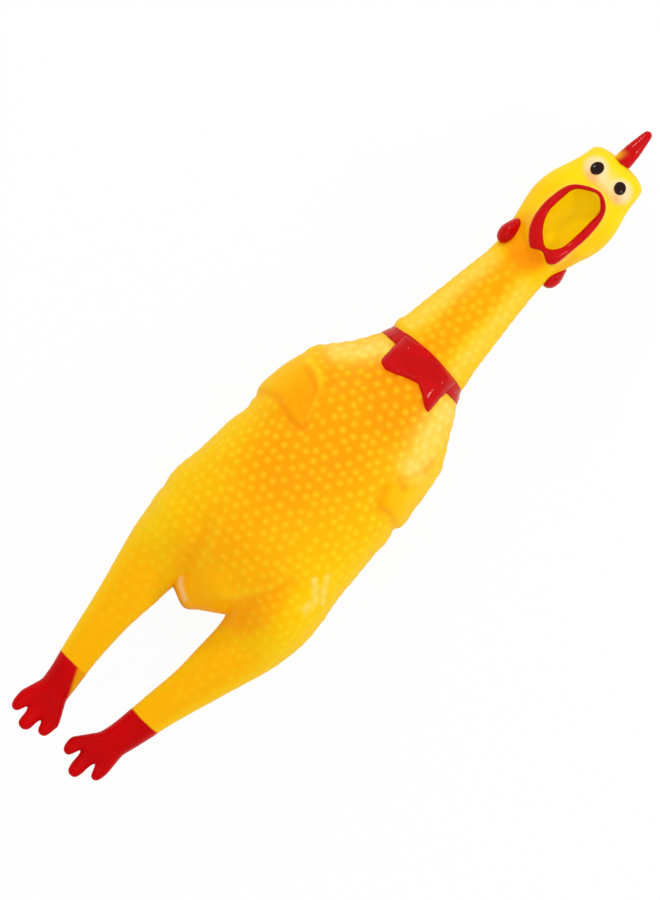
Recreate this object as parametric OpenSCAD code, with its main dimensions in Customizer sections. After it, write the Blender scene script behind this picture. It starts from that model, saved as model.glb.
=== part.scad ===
// Rubber chicken: a hollow toy of soft moulded skin that lies on its back, with a reed squeaker in its throat.
// +Z is the belly side, +Y runs to the head, and left is the -X side, as seen from the belly side.
// The origin is the middle of the flat on the back. Heights are counted along Y, up from the toe tips.

/* [Skin] */
// Wall thickness of the moulded skin
skin_t = 2; // [1.4:0.1:2.8]
// Air gap between two pieces that move past each other
run_gap = 0.3; // [0.2:0.05:0.4]

/* [Torso] */
// Width across the hips, the widest place
hip_w = 75.6; // [72:0.2:80]
// Width across the chest, under the wings
chest_w = 69.2; // [66:0.2:74]
// Width across the shoulders, under the bow tie
shoulder_w = 50.4; // [47:0.2:54]
// Thickness from the flat on the back to the top of the belly
torso_d = 56; // [52:0.5:62]
// Length of the torso from the hip cut to the top of the collar
torso_len = 122; // [116:0.5:130]
// Distance from the hip cut to the middle of the flat on the back
rest_up = 59.5; // [54:0.5:65]
// How much of the round back is flattened
back_flat = 2; // [1.4:0.1:2.6]
// Depth of the belly cap that gives way when the toy is squeezed
belly_cap = 7; // [6:0.25:8]
// Depth of the fold round that cap
belly_fold = 3.2; // [2.8:0.1:3.6]

/* [Neck] */
// Width of the neck where it leaves the collar
neck_root_w = 33.8; // [32.5:0.1:36]
// Width of the neck at the throat
neck_top_w = 23; // [21.8:0.1:24.4]
// Length of the lower fold, which bends sideways
neck_fold_len = 12; // [11:0.25:14]
// Length of the firm stretch between the two folds
neck_mid_len = 10; // [8:0.25:14]
// Length of the upper fold, which nods
nod_fold_len = 12; // [11:0.25:14]
// Length of the throat, which grips the squeaker
throat_len = 17; // [16:0.25:20]

/* [Head] */
// Width of the head across the cheeks
head_w = 33.8; // [31.5:0.1:36]
// Thickness of the head from nape to face
head_d = 33.5; // [31:0.25:37]
// Height of the head above the throat
head_len = 48; // [46:0.25:54]
// How far the crown leans to the right
head_lean = 1.8; // [0:0.1:3]

/* [Beak] */
// Width of the open beak over its lip
beak_w = 20; // [18:0.1:22]
// Height of the open beak over its lip
beak_len = 31.8; // [29:0.1:33]
// Height of the middle of the beak above the throat
beak_up = 17.6; // [17.2:0.1:19.5]
// How far the beak's upper and lower tips stand in front of the face
beak_out = 8; // [6:0.25:10]
// How far the corners of the beak lie behind its tips
beak_dip = 6; // [3:0.25:8]
// How far the tip of the upper beak leans to the right
beak_lean = 1.3; // [0:0.1:2]
// Thickness of the painted lip from front to back
lip_t = 3.6; // [3:0.1:4.2]
// Depth of the mouth behind the lip
mouth_depth = 15; // [12:0.25:16]
// Thickness of the mouth lining
lining_t = 1.4; // [1.1:0.1:1.8]
// Bore of the duct from the squeaker into the mouth
duct_d = 5; // [4:0.25:5.5]

/* [Eyes and comb] */
// Distance between the middles of the eyes
eye_span = 11.2; // [10.5:0.1:12.5]
// Height of the eyes above the throat
eye_up = 38.6; // [38:0.1:40.5]
// Diameter of an eye
eye_d = 9.8; // [8.8:0.1:10.4]
// How far an eye stands proud of the face
eye_rise = 1.2; // [0.8:0.1:1.6]
// Diameter of a pupil
pupil_d = 4.5; // [4:0.1:5.4]
// How far a pupil stands proud of its eye
pupil_rise = 0.6; // [0.4:0.05:0.9]
// Height of the comb's front tooth above the crown
comb_rise = 14; // [11:0.25:17]
// Thickness of the comb at its root
comb_t = 7.8; // [6.6:0.1:8.6]
// Thickness of the comb at its tips
comb_tip_t = 3.8; // [3.2:0.1:4.4]
// Number of teeth on the comb
comb_teeth = 4; // [3:1:5]
// Length of the wattle below each cheek
wattle_len = 11; // [9:0.25:13]
// Width of a wattle
wattle_w = 6.6; // [5.2:0.1:7.4]
// How far the left wattle sits in front of the right one
wattle_turn = 7; // [0:0.5:9]

/* [Collar and bow tie] */
// Height of the collar band
collar_h = 6.5; // [5:0.1:8]
// Thickness of the collar band
collar_t = 0.8; // [0.6:0.05:1.2]
// Width of the bow tie
bow_w = 25.4; // [22:0.1:29]
// Height of the bow tie
bow_h = 14; // [12:0.1:16]
// How far the bow tie stands proud of the chest
bow_t = 4.4; // [3.4:0.1:5.4]

/* [Wings and tail] */
// Length of a folded wing
wing_len = 31; // [27:0.25:35]
// How far a wing stands out from the chest
wing_out = 1.5; // [1.2:0.1:2.2]
// Width of the left wing over the chest
wing_left_w = 20.5; // [14.5:0.5:22]
// Width of the right wing over the chest
wing_right_w = 13.5; // [12.5:0.5:22]
// Height of the lower end of the wings above the hip cut
wing_up = 68; // [64:0.25:74]
// Width of the tail at its root
tail_w = 23; // [20:0.25:25]
// How far the tail drops below its root
tail_len = 12; // [10:0.25:14]

/* [Legs] */
// Distance of the left hip from the middle
hip_left = 21; // [20.4:0.1:23.4]
// Distance of the right hip from the middle
hip_right = 24.6; // [23:0.1:26]
// Distance of the left ankle from the middle
ankle_left = 15.5; // [14:0.1:17.5]
// Distance of the right ankle from the middle
ankle_right = 16.1; // [14.5:0.1:18]
// Thickness of a leg where it leaves the hips
hip_d = 24.4; // [22:0.1:26]
// Thickness of a leg at the knee
knee_d = 17.2; // [15.6:0.1:18.6]
// Thickness of a leg at the ankle
ankle_d = 12.2; // [11.2:0.1:13]
// Length of the fold at the hip, which lets the leg swing out
hip_fold_len = 11; // [10:0.25:13]
// Length of the thigh between its folds
thigh_len = 10; // [8:0.25:13]
// Length of the fold at the knee
knee_fold_len = 10; // [9:0.25:12]
// Length of the shank between its folds
shank_len = 7; // [6:0.25:10]
// Length of the fold at the ankle
ankle_fold_len = 8; // [7:0.25:10]
// Length of the foot from the ankle fold to the toe tips
foot_len = 31; // [29:0.25:35]
// Width of the foot across its toes
foot_w = 19.6; // [18:0.1:21]
// Thickness of a toe
toe_d = 5; // [4.4:0.1:5.4]
// How far the left toes turn in from the ankle
toes_in_left = 2.1; // [1:0.1:3.6]
// How far the right toes turn in from the ankle
toes_in_right = 4.9; // [2:0.1:5.8]

/* [Squeaker] */
// Length of the squeaker's cup
squeaker_len = 10; // [9:0.25:12]
// Wall of the squeaker's cup
cup_t = 1.2; // [1:0.1:1.5]
// Bore of the air holes in the cup and its cap
air_d = 5; // [4:0.1:6]
// Diameter of the reed holder
holder_d = 8; // [7:0.1:9]
// Length of the reed
reed_len = 7; // [6:0.1:8]
// Width of the reed
reed_w = 3.6; // [3:0.1:4.2]
// Thickness of the reed
reed_t = 0.3; // [0.2:0.02:0.4]

/* [Hidden] */
// Heights of the cuts between the pieces of the skin, up from the toe tips
ankle_h = foot_len;
shank_h = ankle_h + ankle_fold_len;
knee_h = shank_h + shank_len;
thigh_h = knee_h + knee_fold_len;
hip_fold_h = thigh_h + thigh_len;
hip_h = hip_fold_h + hip_fold_len;
collar_top_h = hip_h + torso_len;
neck_mid_h = collar_top_h + neck_fold_len;
nod_h = neck_mid_h + neck_mid_len;
throat_h = nod_h + nod_fold_len;
head_h = throat_h + throat_len;
crown_h = head_h + head_len;
rest_h = hip_h + rest_up;

// Corners of the rings round the body and neck, the legs and the head
body_sides = 32;
leg_sides = 20;
head_sides = 30;
// Corners of the rings of the hidden inner faces
inner_sides = 20;

// Middle line of the neck and the legs above the table
axis_z = torso_d / 2 - 1;
throat_x = 0.3;
fold_z = torso_d - belly_cap;
cap_z = fold_z + belly_fold;

// Control rings: height, middle x, middle z, half width, front, back, squareness
body_rings = [
    [hip_h + 3, 1.6, axis_z, 12, 11, 12, 2.1],
    [hip_h + 12, 1.4, axis_z, hip_w / 2 - 12, torso_d - axis_z - 10, axis_z - 5, 2.2],
    [hip_h + 25, -0.4, axis_z, hip_w / 2 - 0.9, torso_d - axis_z - 2.4, axis_z - 0.4, 2.25],
    [hip_h + 42, 0, axis_z, hip_w / 2 - 1.3, torso_d - axis_z, axis_z + back_flat, 2.3],
    [hip_h + 70, -0.6, axis_z, chest_w / 2, torso_d - axis_z - 0.8, axis_z + back_flat, 2.25],
    [hip_h + 86, -0.6, axis_z, chest_w / 2 - 1.9, torso_d - axis_z - 3, axis_z + back_flat / 2, 2.2],
    [hip_h + 97, -0.3, axis_z, mix(shoulder_w, chest_w, 0.53) / 2, torso_d - axis_z - 6, axis_z - 1, 2.1],
    [collar_top_h - 17, 0.2, axis_z, shoulder_w / 2, torso_d - axis_z - 8.5, axis_z - 4, 2.1],
    [collar_top_h - 9, 0.5, axis_z, mix(neck_root_w, shoulder_w, 0.42) / 2, 19.2, 18.5, 2],
    [collar_top_h, 0, axis_z, neck_root_w / 2, neck_root_w / 2, neck_root_w / 2, 2]
];
neck_rings = [
    [collar_top_h, 0, axis_z, neck_root_w / 2, neck_root_w / 2, neck_root_w / 2, 2],
    [mix(collar_top_h, head_h, 0.2), -0.2, axis_z, mix(neck_root_w, neck_top_w, 0.26) / 2,
        mix(neck_root_w, neck_top_w, 0.26) / 2, mix(neck_root_w, neck_top_w, 0.26) / 2, 2],
    [mix(collar_top_h, head_h, 0.55), 0, axis_z, mix(neck_root_w, neck_top_w, 0.66) / 2,
        mix(neck_root_w, neck_top_w, 0.66) / 2, mix(neck_root_w, neck_top_w, 0.66) / 2, 2],
    [mix(collar_top_h, head_h, 0.85), throat_x, axis_z, neck_top_w / 2, neck_top_w / 2, neck_top_w / 2, 2],
    [head_h, throat_x, axis_z, neck_top_w / 2, neck_top_w / 2, neck_top_w / 2, 2]
];
head_rings = [
    [head_h, throat_x, axis_z, neck_top_w / 2, neck_top_w / 2, neck_top_w / 2, 2],
    [head_h + 5, 0.5, axis_z, mix(neck_top_w, head_w, 0.26) / 2, head_d / 2 - 4.5, head_d / 2 - 4, 2],
    [head_h + 10, 0.7, axis_z, mix(neck_top_w, head_w, 0.5) / 2, head_d / 2 - 2.5, head_d / 2 - 2, 2],
    [head_h + 15.5, 1.1, axis_z, mix(neck_top_w, head_w, 0.82) / 2, head_d / 2 - 1, head_d / 2 - 0.6, 2],
    [head_h + 22, 1.4, axis_z, head_w / 2, head_d / 2, head_d / 2, 2],
    [head_h + 29, mix(1.4, head_lean, 0.5), axis_z, head_w / 2 - 0.9, head_d / 2 - 0.6, head_d / 2, 2],
    [crown_h - 12, head_lean + 0.1, axis_z, head_w / 2 - 3.2, head_d / 2 - 2.4, head_d / 2 - 0.8, 2.1],
    [crown_h - 5.5, head_lean + 0.6, axis_z, head_w / 2 - 4.5, head_d / 2 - 4.4, head_d / 2 - 2.4, 2.2],
    [crown_h - 2, head_lean + 0.6, axis_z, head_w / 2 - 5.2, head_d / 2 - 6.6, head_d / 2 - 4.6, 2.2],
    [crown_h, head_lean + 0.5, axis_z, head_w / 2 - 9.6, head_d / 2 - 11.4, head_d / 2 - 10, 2.2]
];
function leg_rings(side, hip_x, ankle_x) = [
    [foot_len - 6, side * (ankle_x - 0.6), axis_z - 4, ankle_d / 2, ankle_d / 2, ankle_d / 2, 2],
    [ankle_h, side * (ankle_x + 0.5), axis_z - 4, ankle_d / 2 + 0.4, ankle_d / 2 + 0.4, ankle_d / 2 + 0.4, 2],
    [shank_h, side * (ankle_x + 1.8), axis_z - 3.4, mix(ankle_d, knee_d, 0.36) / 2,
        mix(ankle_d, knee_d, 0.36) / 2, mix(ankle_d, knee_d, 0.36) / 2, 2],
    [thigh_h, side * (mix(ankle_x, hip_x, 0.52) + 0.8), axis_z - 2.2, knee_d / 2 + 0.1, knee_d / 2 + 0.2,
        knee_d / 2 + 0.2, 2],
    [hip_fold_h, side * (mix(ankle_x, hip_x, 0.75) + 0.3), axis_z - 1.4, mix(knee_d, hip_d, 0.5) / 2,
        mix(knee_d, hip_d, 0.5) / 2, mix(knee_d, hip_d, 0.5) / 2, 2],
    [hip_h, side * hip_x, axis_z - 1, hip_d / 2, hip_d / 2, hip_d / 2, 2],
    [hip_h + 7, side * (hip_x - 0.5), axis_z - 0.5, hip_d / 2 + 2, hip_d / 2 + 4.4, hip_d / 2 + 3, 2],
    [hip_h + 15, side * (hip_x - 2.3), axis_z, hip_d / 2 + 4.8, torso_d - axis_z - 7.4, axis_z - 7.2, 2],
    [hip_h + 25, side * (hip_x - 4.6), axis_z, hip_d / 2 + 6.8, torso_d - axis_z - 5.2, axis_z - 4.8, 2],
    [hip_h + 38, side * (hip_x - 7.7), axis_z, hip_d / 2 + 7.6, torso_d - axis_z - 6.8, axis_z - 6.8, 2]
];

// Middle of the beak and of the face above it
beak_x = 1.3;
beak_h = head_h + beak_up;
face_z = axis_z + head_d / 2;
tip_z = face_z + beak_out;
mouth_w = 0.72 * beak_w;
mouth_len = 0.86 * beak_len;
eye_h = head_h + eye_up;
eye_x = head_lean;
eye_z = face_z - 3.6;

// The squeaker sits in the throat and turns about the neck's own axis
cup_h = head_h - squeaker_len - 1;
cup_r = neck_top_w / 2 - skin_t - 0.15;
plate_t = cup_t;
holder_len = reed_len - 1;
reed_slot = reed_t + run_gap;

// ---- Shapes shared by the pieces ----

function mix(a, b, t) = a + (b - a) * t;

// A smooth ring at any height of a list of control rings
function stretch(rings, h, i = 0) = (i >= len(rings) - 2 || h < rings[i + 1][0]) ? i : stretch(rings, h, i + 1);
function trend(rings, i) =
    let (a = max(i - 1, 0), b = min(i + 1, len(rings) - 1)) (rings[b] - rings[a]) / (rings[b][0] - rings[a][0]);
function ring_at(rings, h) =
    let (i = stretch(rings, h), w = rings[i + 1][0] - rings[i][0], t = (h - rings[i][0]) / w)
    (1 + 2 * t) * pow(1 - t, 2) * rings[i] + t * pow(1 - t, 2) * w * trend(rings, i)
    + t * t * (3 - 2 * t) * rings[i + 1] + t * t * (t - 1) * w * trend(rings, i + 1);

// The corners of one ring, drawn in by a wall and cut off at the table
function bent(v, p) = sign(v) * pow(abs(v), p);
function ring_points(ring, wall, sides) = [for (k = [0:sides - 1])
    let (a = 360 * k / sides, p = 2 / ring[6], up = sin(a) > 0 ? ring[4] : ring[5])
    [ring[1] + (ring[3] - wall) * bent(cos(a), p), ring[0] - rest_h,
        max(ring[2] + (up - wall) * bent(sin(a), p), wall)]];
function loft_points(rings, low, high, steps, wall, sides, dome = false) = [for (j = [0:steps])
    let (t = dome ? sin(90 * j / steps) : j / steps) each ring_points(ring_at(rings, mix(low, high, t)), wall, sides)];

// Triangles of the wall between ring j and the next, clockwise from outside
function wall_faces(steps, sides, first = 0) = [for (j = [0:steps - 1], k = [0:sides - 1])
    let (a = first + j * sides + k, b = first + j * sides + (k + 1) % sides)
    each [[a, b, b + sides], [a, b + sides, a + sides]]];
function turned(faces) = [for (f = faces) [f[2], f[1], f[0]]];
function cap_faces(first, sides) = [for (k = [1:sides - 2]) [first, first + k, first + k + 1]];
function band_faces(outer, inner, sides) = [for (k = [0:sides - 1])
    let (n = (k + 1) % sides) each [[outer + k, inner + n, outer + n], [outer + k, inner + k, inner + n]]];

// A closed form along Y through control rings, the rings closer together at the top of a dome
module loft(rings, low, high, steps, sides, wall = 0, dome = false) {
    top = steps * sides;
    polyhedron(loft_points(rings, low, high, steps, wall, sides, dome),
        concat(wall_faces(steps, sides), turned(cap_faces(0, sides)), cap_faces(top, sides)));
}

// A length of hollow skin along Y with flat open ends
module skin_tube(rings, low, high, steps, sides) {
    inner = (steps + 1) * sides;
    top = steps * sides;
    polyhedron(concat(loft_points(rings, low, high, steps, 0, sides),
            loft_points(rings, low, high, steps, skin_t, sides)),
        concat(wall_faces(steps, sides), turned(wall_faces(steps, sides, inner)),
            band_faces(0, inner, sides), turned(band_faces(top, inner + top, sides))));
}

// An egg at a place on the toy, drawn in by a wall
module egg(place, r, wall = 0, sides = 24)
    translate([place[0], place[1] - rest_h, place[2]]) scale(r - [wall, wall, wall]) sphere(1, $fn = sides);

// A fleshy ridge through a row of eggs, each [place, radii]
module ridge(eggs, wall = 0, sides = 20)
    for (i = [0:len(eggs) - 2]) hull() {
        egg(eggs[i][0], eggs[i][1], wall, sides);
        egg(eggs[i + 1][0], eggs[i + 1][1], wall, sides);
    }

module slab(low_z, high_z) translate([-100, -rest_h - 10, low_z]) cube([200, crown_h + 40, high_z - low_z]);

// ---- Torso ----

module torso_form(wall = 0) {
    hidden = wall > 0;
    past = hidden ? 0.1 : 0;
    loft(body_rings, hip_h + 3 + wall, collar_top_h + past, hidden ? 10 : 20, hidden ? inner_sides : body_sides, wall);
    for (leg = [[-1, hip_left, ankle_left], [1, hip_right, ankle_right]]) {
        loft(leg_rings(leg[0], leg[1], leg[2]), hip_h - past, hip_h + 38, hidden ? 5 : 8, leg_sides, wall);
        // fullness of the thigh up the side of the belly
        ridge([[[leg[0] * (leg[1] - 6), hip_h + 22, torso_d - 28], [13, 15, 17.4]],
            [[leg[0] * (leg[1] - 8), hip_h + 44, torso_d - 27], [14, 16, 22]]], wall, 14);
    }
    // round of the lower belly between the thighs
    ridge([[[2, hip_h + 14.6, torso_d - 25.6], [14.2, 13, 18]], [[1.8, hip_h + 28, torso_d - 22.8], [15, 15, 20]],
        [[0.8, hip_h + 46, torso_d - 24], [16, 18, 21]]], wall, 20);
    for (side = [-1, 1]) {
        // breast and shoulder
        ridge([[[side * (chest_w / 2 - 19), hip_h + 70, torso_d - 25], [12, 16, 20]],
            [[side * (chest_w / 2 - 20), hip_h + 86, torso_d - 26], [11, 12, 18]]], wall, 14);
        ridge([[[side * (chest_w / 2 - 14), hip_h + 82, axis_z], [13, 12, 17]],
            [[side * (shoulder_w / 2 - 12), collar_top_h - 22, axis_z], [11, 10, 15]]], wall, 14);
    }
}

module torso_wall() difference() {
    torso_form();
    torso_form(skin_t);
}

module torso_shell() color("gold") difference() {
    torso_wall();
    slab(fold_z, torso_d + 20);
}

module belly_fold_ring() color("orange") intersection() {
    torso_wall();
    slab(fold_z, cap_z);
}

module belly_panel() color("gold") intersection() {
    torso_wall();
    slab(cap_z + run_gap, torso_d + 20);
}

// A folded wing in low relief: elbow at the bottom, tip over the chest, and two finger folds on the tip
module wing(side, w) color("gold") difference() {
    wing_h = hip_h + wing_up;
    edge = chest_w / 2 + wing_out;
    tip = edge - w;
    z = torso_d - 14;
    deep = 28;
    union() {
        intersection() {
            loft(body_rings, wing_h - 4, wing_h + wing_len + 2, 6, body_sides, -wing_out);
            hull() {
                egg([side * (edge - 8.6), wing_h + wing_len - 4, z], [5, 4, deep], 0, 12);
                egg([side * (edge + 1), wing_h + wing_len * 0.6, z], [4, 6, deep], 0, 12);
                egg([side * (edge - 3), wing_h + 4, z], [5, 4, deep], 0, 12);
                egg([side * (tip + 1.6), wing_h + 6.6, z], [2, 2, deep], 0, 12);
                egg([side * (tip + 5), wing_h + 20, z], [2, 2, deep], 0, 12);
            }
        }
        for (fold = [[4.4, 14, 2, 7], [8, 20.4, 5, 17.4]])
            ridge([for (i = [0, 2]) let (x = tip + fold[i], h = wing_h + fold[i + 1])
                [[side * x, h, chest_z(x, h) + wing_out - 0.4], [1.8, 1.8, 1.3]]], 0, 10);
    }
    torso_form();
}
// Top of the round body at a distance to one side of its middle
function chest_z(x, h) = let (r = ring_at(body_rings, h)) r[2] + r[4] * pow(1 - pow(x / r[3], r[6]), 1 / r[6]);
module left_wing() wing(-1, wing_left_w);
module right_wing() wing(1, wing_right_w);

module tail_cone() color("moccasin") difference() {
    ridge([[[1, hip_h + 8, axis_z - 9], [tail_w / 2, 6.5, 9]],
        [[-1.9, hip_h + 9.4 - tail_len, axis_z - 7], [3.4, 3, 4]]]);
    torso_form();
}

module collar_band() color("crimson") difference() {
    loft(body_rings, collar_top_h - collar_h, collar_top_h - 0.02, 2, body_sides, -collar_t);
    torso_form();
}

// A broad bow with a full loop at each side, hollowed under the middle
module bow_tie() color("crimson") {
    top = collar_top_h - 2;
    low = collar_top_h - bow_h + 2.4;
    z = axis_z + neck_root_w / 2 + bow_t - 2.6;
    x = 0.8;
    difference() {
        union() {
            for (side = [-1, 1]) hull() {
                egg([x + side * (bow_w / 2 - 2.2), top, z - 4.4], [2.2, 2, 4], 0, 16);
                egg([x + side * (bow_w / 2 - 2.4), low, z - 1.6], [2.4, 2.4, 3.2], 0, 16);
                egg([x + side * 4.6, low + 1.4, z], [2.4, 2.4, 2.6], 0, 16);
                egg([x + side * 4, top, z - 2.2], [2.2, 2, 2.6], 0, 16);
            }
            hull() for (side = [-1, 1]) {
                egg([x + side * 3.4, low + 3.6, z - 1], [2.4, 2.4, 2.6], 0, 16);
                egg([x + side * 3.4, top, z - 2.6], [2.4, 2, 2.6], 0, 16);
            }
        }
        torso_form();
        loft(body_rings, collar_top_h - collar_h, collar_top_h - 0.02, 2, body_sides, -collar_t);
        slab_above_collar();
    }
}
module slab_above_collar()
    translate([-40, collar_top_h - 0.02 - rest_h, 0]) cube([80, 40, torso_d + 20]);

// ---- Neck ----

module neck_lower_fold() color("orange") skin_tube(neck_rings, collar_top_h, neck_mid_h - run_gap, 2, body_sides);
module neck_middle() color("gold") skin_tube(neck_rings, neck_mid_h, nod_h, 2, body_sides);
module neck_upper_fold() color("orange") skin_tube(neck_rings, nod_h, throat_h - run_gap, 2, body_sides);
module throat_sleeve() color("gold") skin_tube(neck_rings, throat_h, head_h, 2, body_sides);

// ---- Head ----

// Right half of the lip from the chin up, in parts of the beak's half width and height: outer edge, inner edge
lip_half = [[0, 0.062, 0, 0.13], [0.43, 0, 0.27, 0.185], [0.73, 0.1, 0.47, 0.27], [0.91, 0.27, 0.585, 0.365],
    [1, 0.47, 0.65, 0.5], [0.97, 0.66, 0.635, 0.68], [0.85, 0.82, 0.6, 0.82], [0.57, 0.925, 0.36, 0.895],
    [0, 1, 0, 0.955]];
lip_loop = concat(lip_half, [for (i = [7:-1:1]) [-lip_half[i][0], lip_half[i][1], -lip_half[i][2], lip_half[i][3]]]);

// A smooth point between the corners of a closed loop
function loop_at(loop, t) =
    let (n = len(loop), i = floor(t), f = t - i, a = loop[(i + n - 1) % n], b = loop[i % n],
        c = loop[(i + 1) % n], d = loop[(i + 2) % n])
    b + 0.5 * f * (c - a + f * (2 * a - 5 * b + 4 * c - d + f * (3 * (b - c) + d - a)));

// One place on the lip, from the middle of the beak: outer x and y, inner x and y
function lip_at(k, sides) =
    let (e = loop_at(lip_loop, len(lip_loop) * k / sides), lean = beak_lean * pow(e[1], 3))
    [e[0] * beak_w / 2 + lean, (e[1] - 0.5) * beak_len, e[2] * beak_w / 2 + lean, (e[3] - 0.5) * beak_len];
function dip_at(x, dip) = dip * pow(2 * x / beak_w, 2);

// One ring of the snout, wider than the outer edge of the lip by a distance at the sides, the top and the chin
function beak_ring(z, out, up, down, dip, sides) = [for (k = [0:sides - 1])
    let (p = lip_at(k, sides))
    [beak_x + p[0] * (1 + 2 * out / beak_w), beak_h - rest_h + p[1] * (1 + 2 * (p[1] > 0 ? up : down) / beak_len),
        z - dip_at(p[0], dip)]];

// The snout between the face and the lip
module snout(wall = 0) {
    sides = 32;
    back = face_z - 12;
    points = concat(beak_ring(back, 3.5 - wall, 3.6 - wall, -1.6 - wall, 0, sides),
        beak_ring(face_z - 4, 1.7 - wall, 2.2 - wall, -0.8 - wall, 2, sides),
        beak_ring(mix(face_z, tip_z, 0.5), 0.2 - wall, 0.4 - wall, -0.6 - wall, beak_dip * 0.8, sides),
        beak_ring(tip_z - lip_t / 2 - wall, -1 - wall, -0.8 - wall, -1 - wall, beak_dip, sides),
        [[beak_x, beak_h - rest_h, back], [beak_x, beak_h - rest_h, tip_z - beak_dip - wall - 1]]);
    last = 3 * sides;
    polyhedron(points, concat(turned(wall_faces(3, sides)),
        [for (k = [0:sides - 1]) [4 * sides, k, (k + 1) % sides]],
        [for (k = [0:sides - 1]) [4 * sides + 1, last + (k + 1) % sides, last + k]]));
}

module head_form(wall = 0) difference() {
    past = wall > 0 ? 0.1 : 0;
    union() {
        loft(head_rings, head_h - past, crown_h - wall, wall > 0 ? 8 : 14, wall > 0 ? inner_sides : head_sides, wall, true);
        snout(wall);
        for (side = [-1, 1]) {
            // brow over the eye
            ridge([[[eye_x + side * 2.4, eye_h + 4.8, eye_z - 4.4], [2.6, 2.4, 3.6]],
                [[eye_x + side * 8, eye_h + 3.8, eye_z - 7], [2.8, 2.6, 4.4]]], wall, 16);
            // cheek beside the beak
            ridge([[[beak_x + side * 8.4, beak_h - 1, face_z - 12], [6.4, 9, 8.6]],
                [[beak_x + side * 8.2, beak_h + 7, face_z - 12], [6, 9, 8.6]]], wall, 14);
        }
        // bridge of the beak, chin, nape and crown
        ridge([[[eye_x, eye_h - 3, face_z - 8], [4, 6, 5]],
            [[beak_x, beak_h + beak_len / 2 - 3, face_z - 4], [6, 5, 5]]], wall, 16);
        ridge([[[0.8, head_h + 4, axis_z + 4], [7, 5, 8.6]], [[1, head_h + 7, face_z - 8], [7, 6, 6.6]]], wall, 16);
        ridge([[[0.8, head_h + 12, axis_z - 6], [10, 8, 10.2]], [[1.2, head_h + 26, axis_z - 6], [11, 9, 10.4]]],
            wall, 16);
        ridge([[[head_lean, crown_h - 3.4, axis_z - 6], [4, 4, 5]],
            [[head_lean, crown_h - 3.4, axis_z + 5], [4, 4, 5]]], wall, 16);
    }
    translate([-40, -rest_h, -10]) cube([80, head_h - past, torso_d + 40]);
}

// The hollow of the mouth: an egg open at the lip, square in its upper corners, with a pocket under the lower beak
module mouth_hollow(wall = 0) hull() {
    w = [wall, wall, wall];
    egg([beak_x + 0.4, beak_h + mouth_len * 0.23, tip_z], [mouth_w / 2, mouth_len * 0.3, mouth_depth * 0.9] + w, 0, 18);
    egg([beak_x, beak_h - mouth_len * 0.1, tip_z], [mouth_w / 2, mouth_len * 0.34, mouth_depth] + w, 0, 18);
    egg([beak_x, beak_h - 1.6, tip_z - mouth_depth * 0.62], [mouth_w / 2 - 0.6, mouth_len / 2 - 3.4,
        mouth_depth * 0.36] + w, 0, 18);
}

// The duct that runs from the squeaker up into the pocket of the mouth
module duct(r) hull() {
    egg([throat_x, head_h + 0.6, axis_z + 1], [r, 0.8, r], 0, 16);
    egg([beak_x, beak_h - mouth_len / 2 + 3, tip_z - mouth_depth * 0.72], [r, 1.2, r], 0, 16);
}

// The lip: a painted roll along the edge of the beak, thin at the upper tip and fat at the chin
module lip() {
    around = 48;
    across = 8;
    roll = [for (i = [0:around - 1])
        let (p = lip_at(i, around), x = (p[0] + p[2]) / 2, y = (p[1] + p[3]) / 2)
        each [for (j = [0:across - 1]) let (b = 360 * j / across)
            [beak_x + x + (p[0] - p[2]) / 2 * cos(b), beak_h - rest_h + y + (p[1] - p[3]) / 2 * cos(b),
                tip_z - dip_at(x, beak_dip) - lip_t / 2 * (1 - sin(b))]]];
    polyhedron(roll, [for (i = [0:around - 1], j = [0:across - 1])
        let (m = (i + 1) % around, n = (j + 1) % across)
        each [[i * across + j, i * across + n, m * across + n], [i * across + j, m * across + n, m * across + j]]]);
}

module head_shell() color("gold") difference() {
    head_form();
    head_form(skin_t);
    mouth_hollow(lining_t);
    duct(duct_d / 2 + 1);
    lip();
}

module mouth_lining() color("orange") difference() {
    intersection() {
        union() {
            mouth_hollow(lining_t);
            duct(duct_d / 2 + 1);
        }
        head_form();
    }
    mouth_hollow();
    duct(duct_d / 2);
    lip();
    translate([-20, head_h - 20 - rest_h, 0]) cube([40, 20 + run_gap, torso_d + 20]);
}

module beak_lip() color("red") lip();

// A saw-toothed blade that runs from the brow to the nape, tallest in front
module comb() color("red") difference() {
    sides = 12;
    step = (head_d - 12) / comb_teeth;
    front = axis_z + head_d / 2 - 11;
    x = head_lean - 0.4;
    union() {
        for (i = [0:comb_teeth - 1]) {
            z = front - i * step;
            rise = comb_rise * (1 - 0.15 * i) - comb_tip_t / 2;
            hull() {
                egg([x, crown_h - 3, z], [comb_t / 2, 3, step * 0.72], 0, sides);
                egg([x, crown_h + rise * 0.4, z + 0.4], [comb_t / 2 - 0.7, 2, step * 0.5], 0, sides);
            }
            hull() {
                egg([x, crown_h + rise * 0.4, z + 0.4], [comb_t / 2 - 0.7, 2, step * 0.5], 0, sides);
                egg([x - 0.1, crown_h + rise, z - 0.6], [comb_tip_t / 2, comb_tip_t / 2, comb_tip_t / 2], 0, sides);
            }
        }
    }
    head_form();
}

// A round drop of skin that hangs behind the corner of the jaw
module wattle(side) color("red") difference() {
    z = axis_z + 2 - side * wattle_turn / 2;
    x = throat_x + 0.5;
    ridge([[[x + side * neck_top_w / 2, head_h + wattle_len * 0.36, z], [wattle_w * 0.4, 2.8, 3.8]],
        [[x + side * (neck_top_w / 2 + 3.8 - wattle_w / 2), head_h - wattle_len * 0.02, z + 0.4],
            [wattle_w / 2, wattle_len * 0.42, 4.6]]], 0, 18);
    head_form();
    // the throat, with a hair's breadth to spare
    loft(neck_rings, throat_h, head_h, 2, body_sides, -run_gap / 3);
}
module left_wattle() wattle(-1);
module right_wattle() wattle(1);

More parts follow.
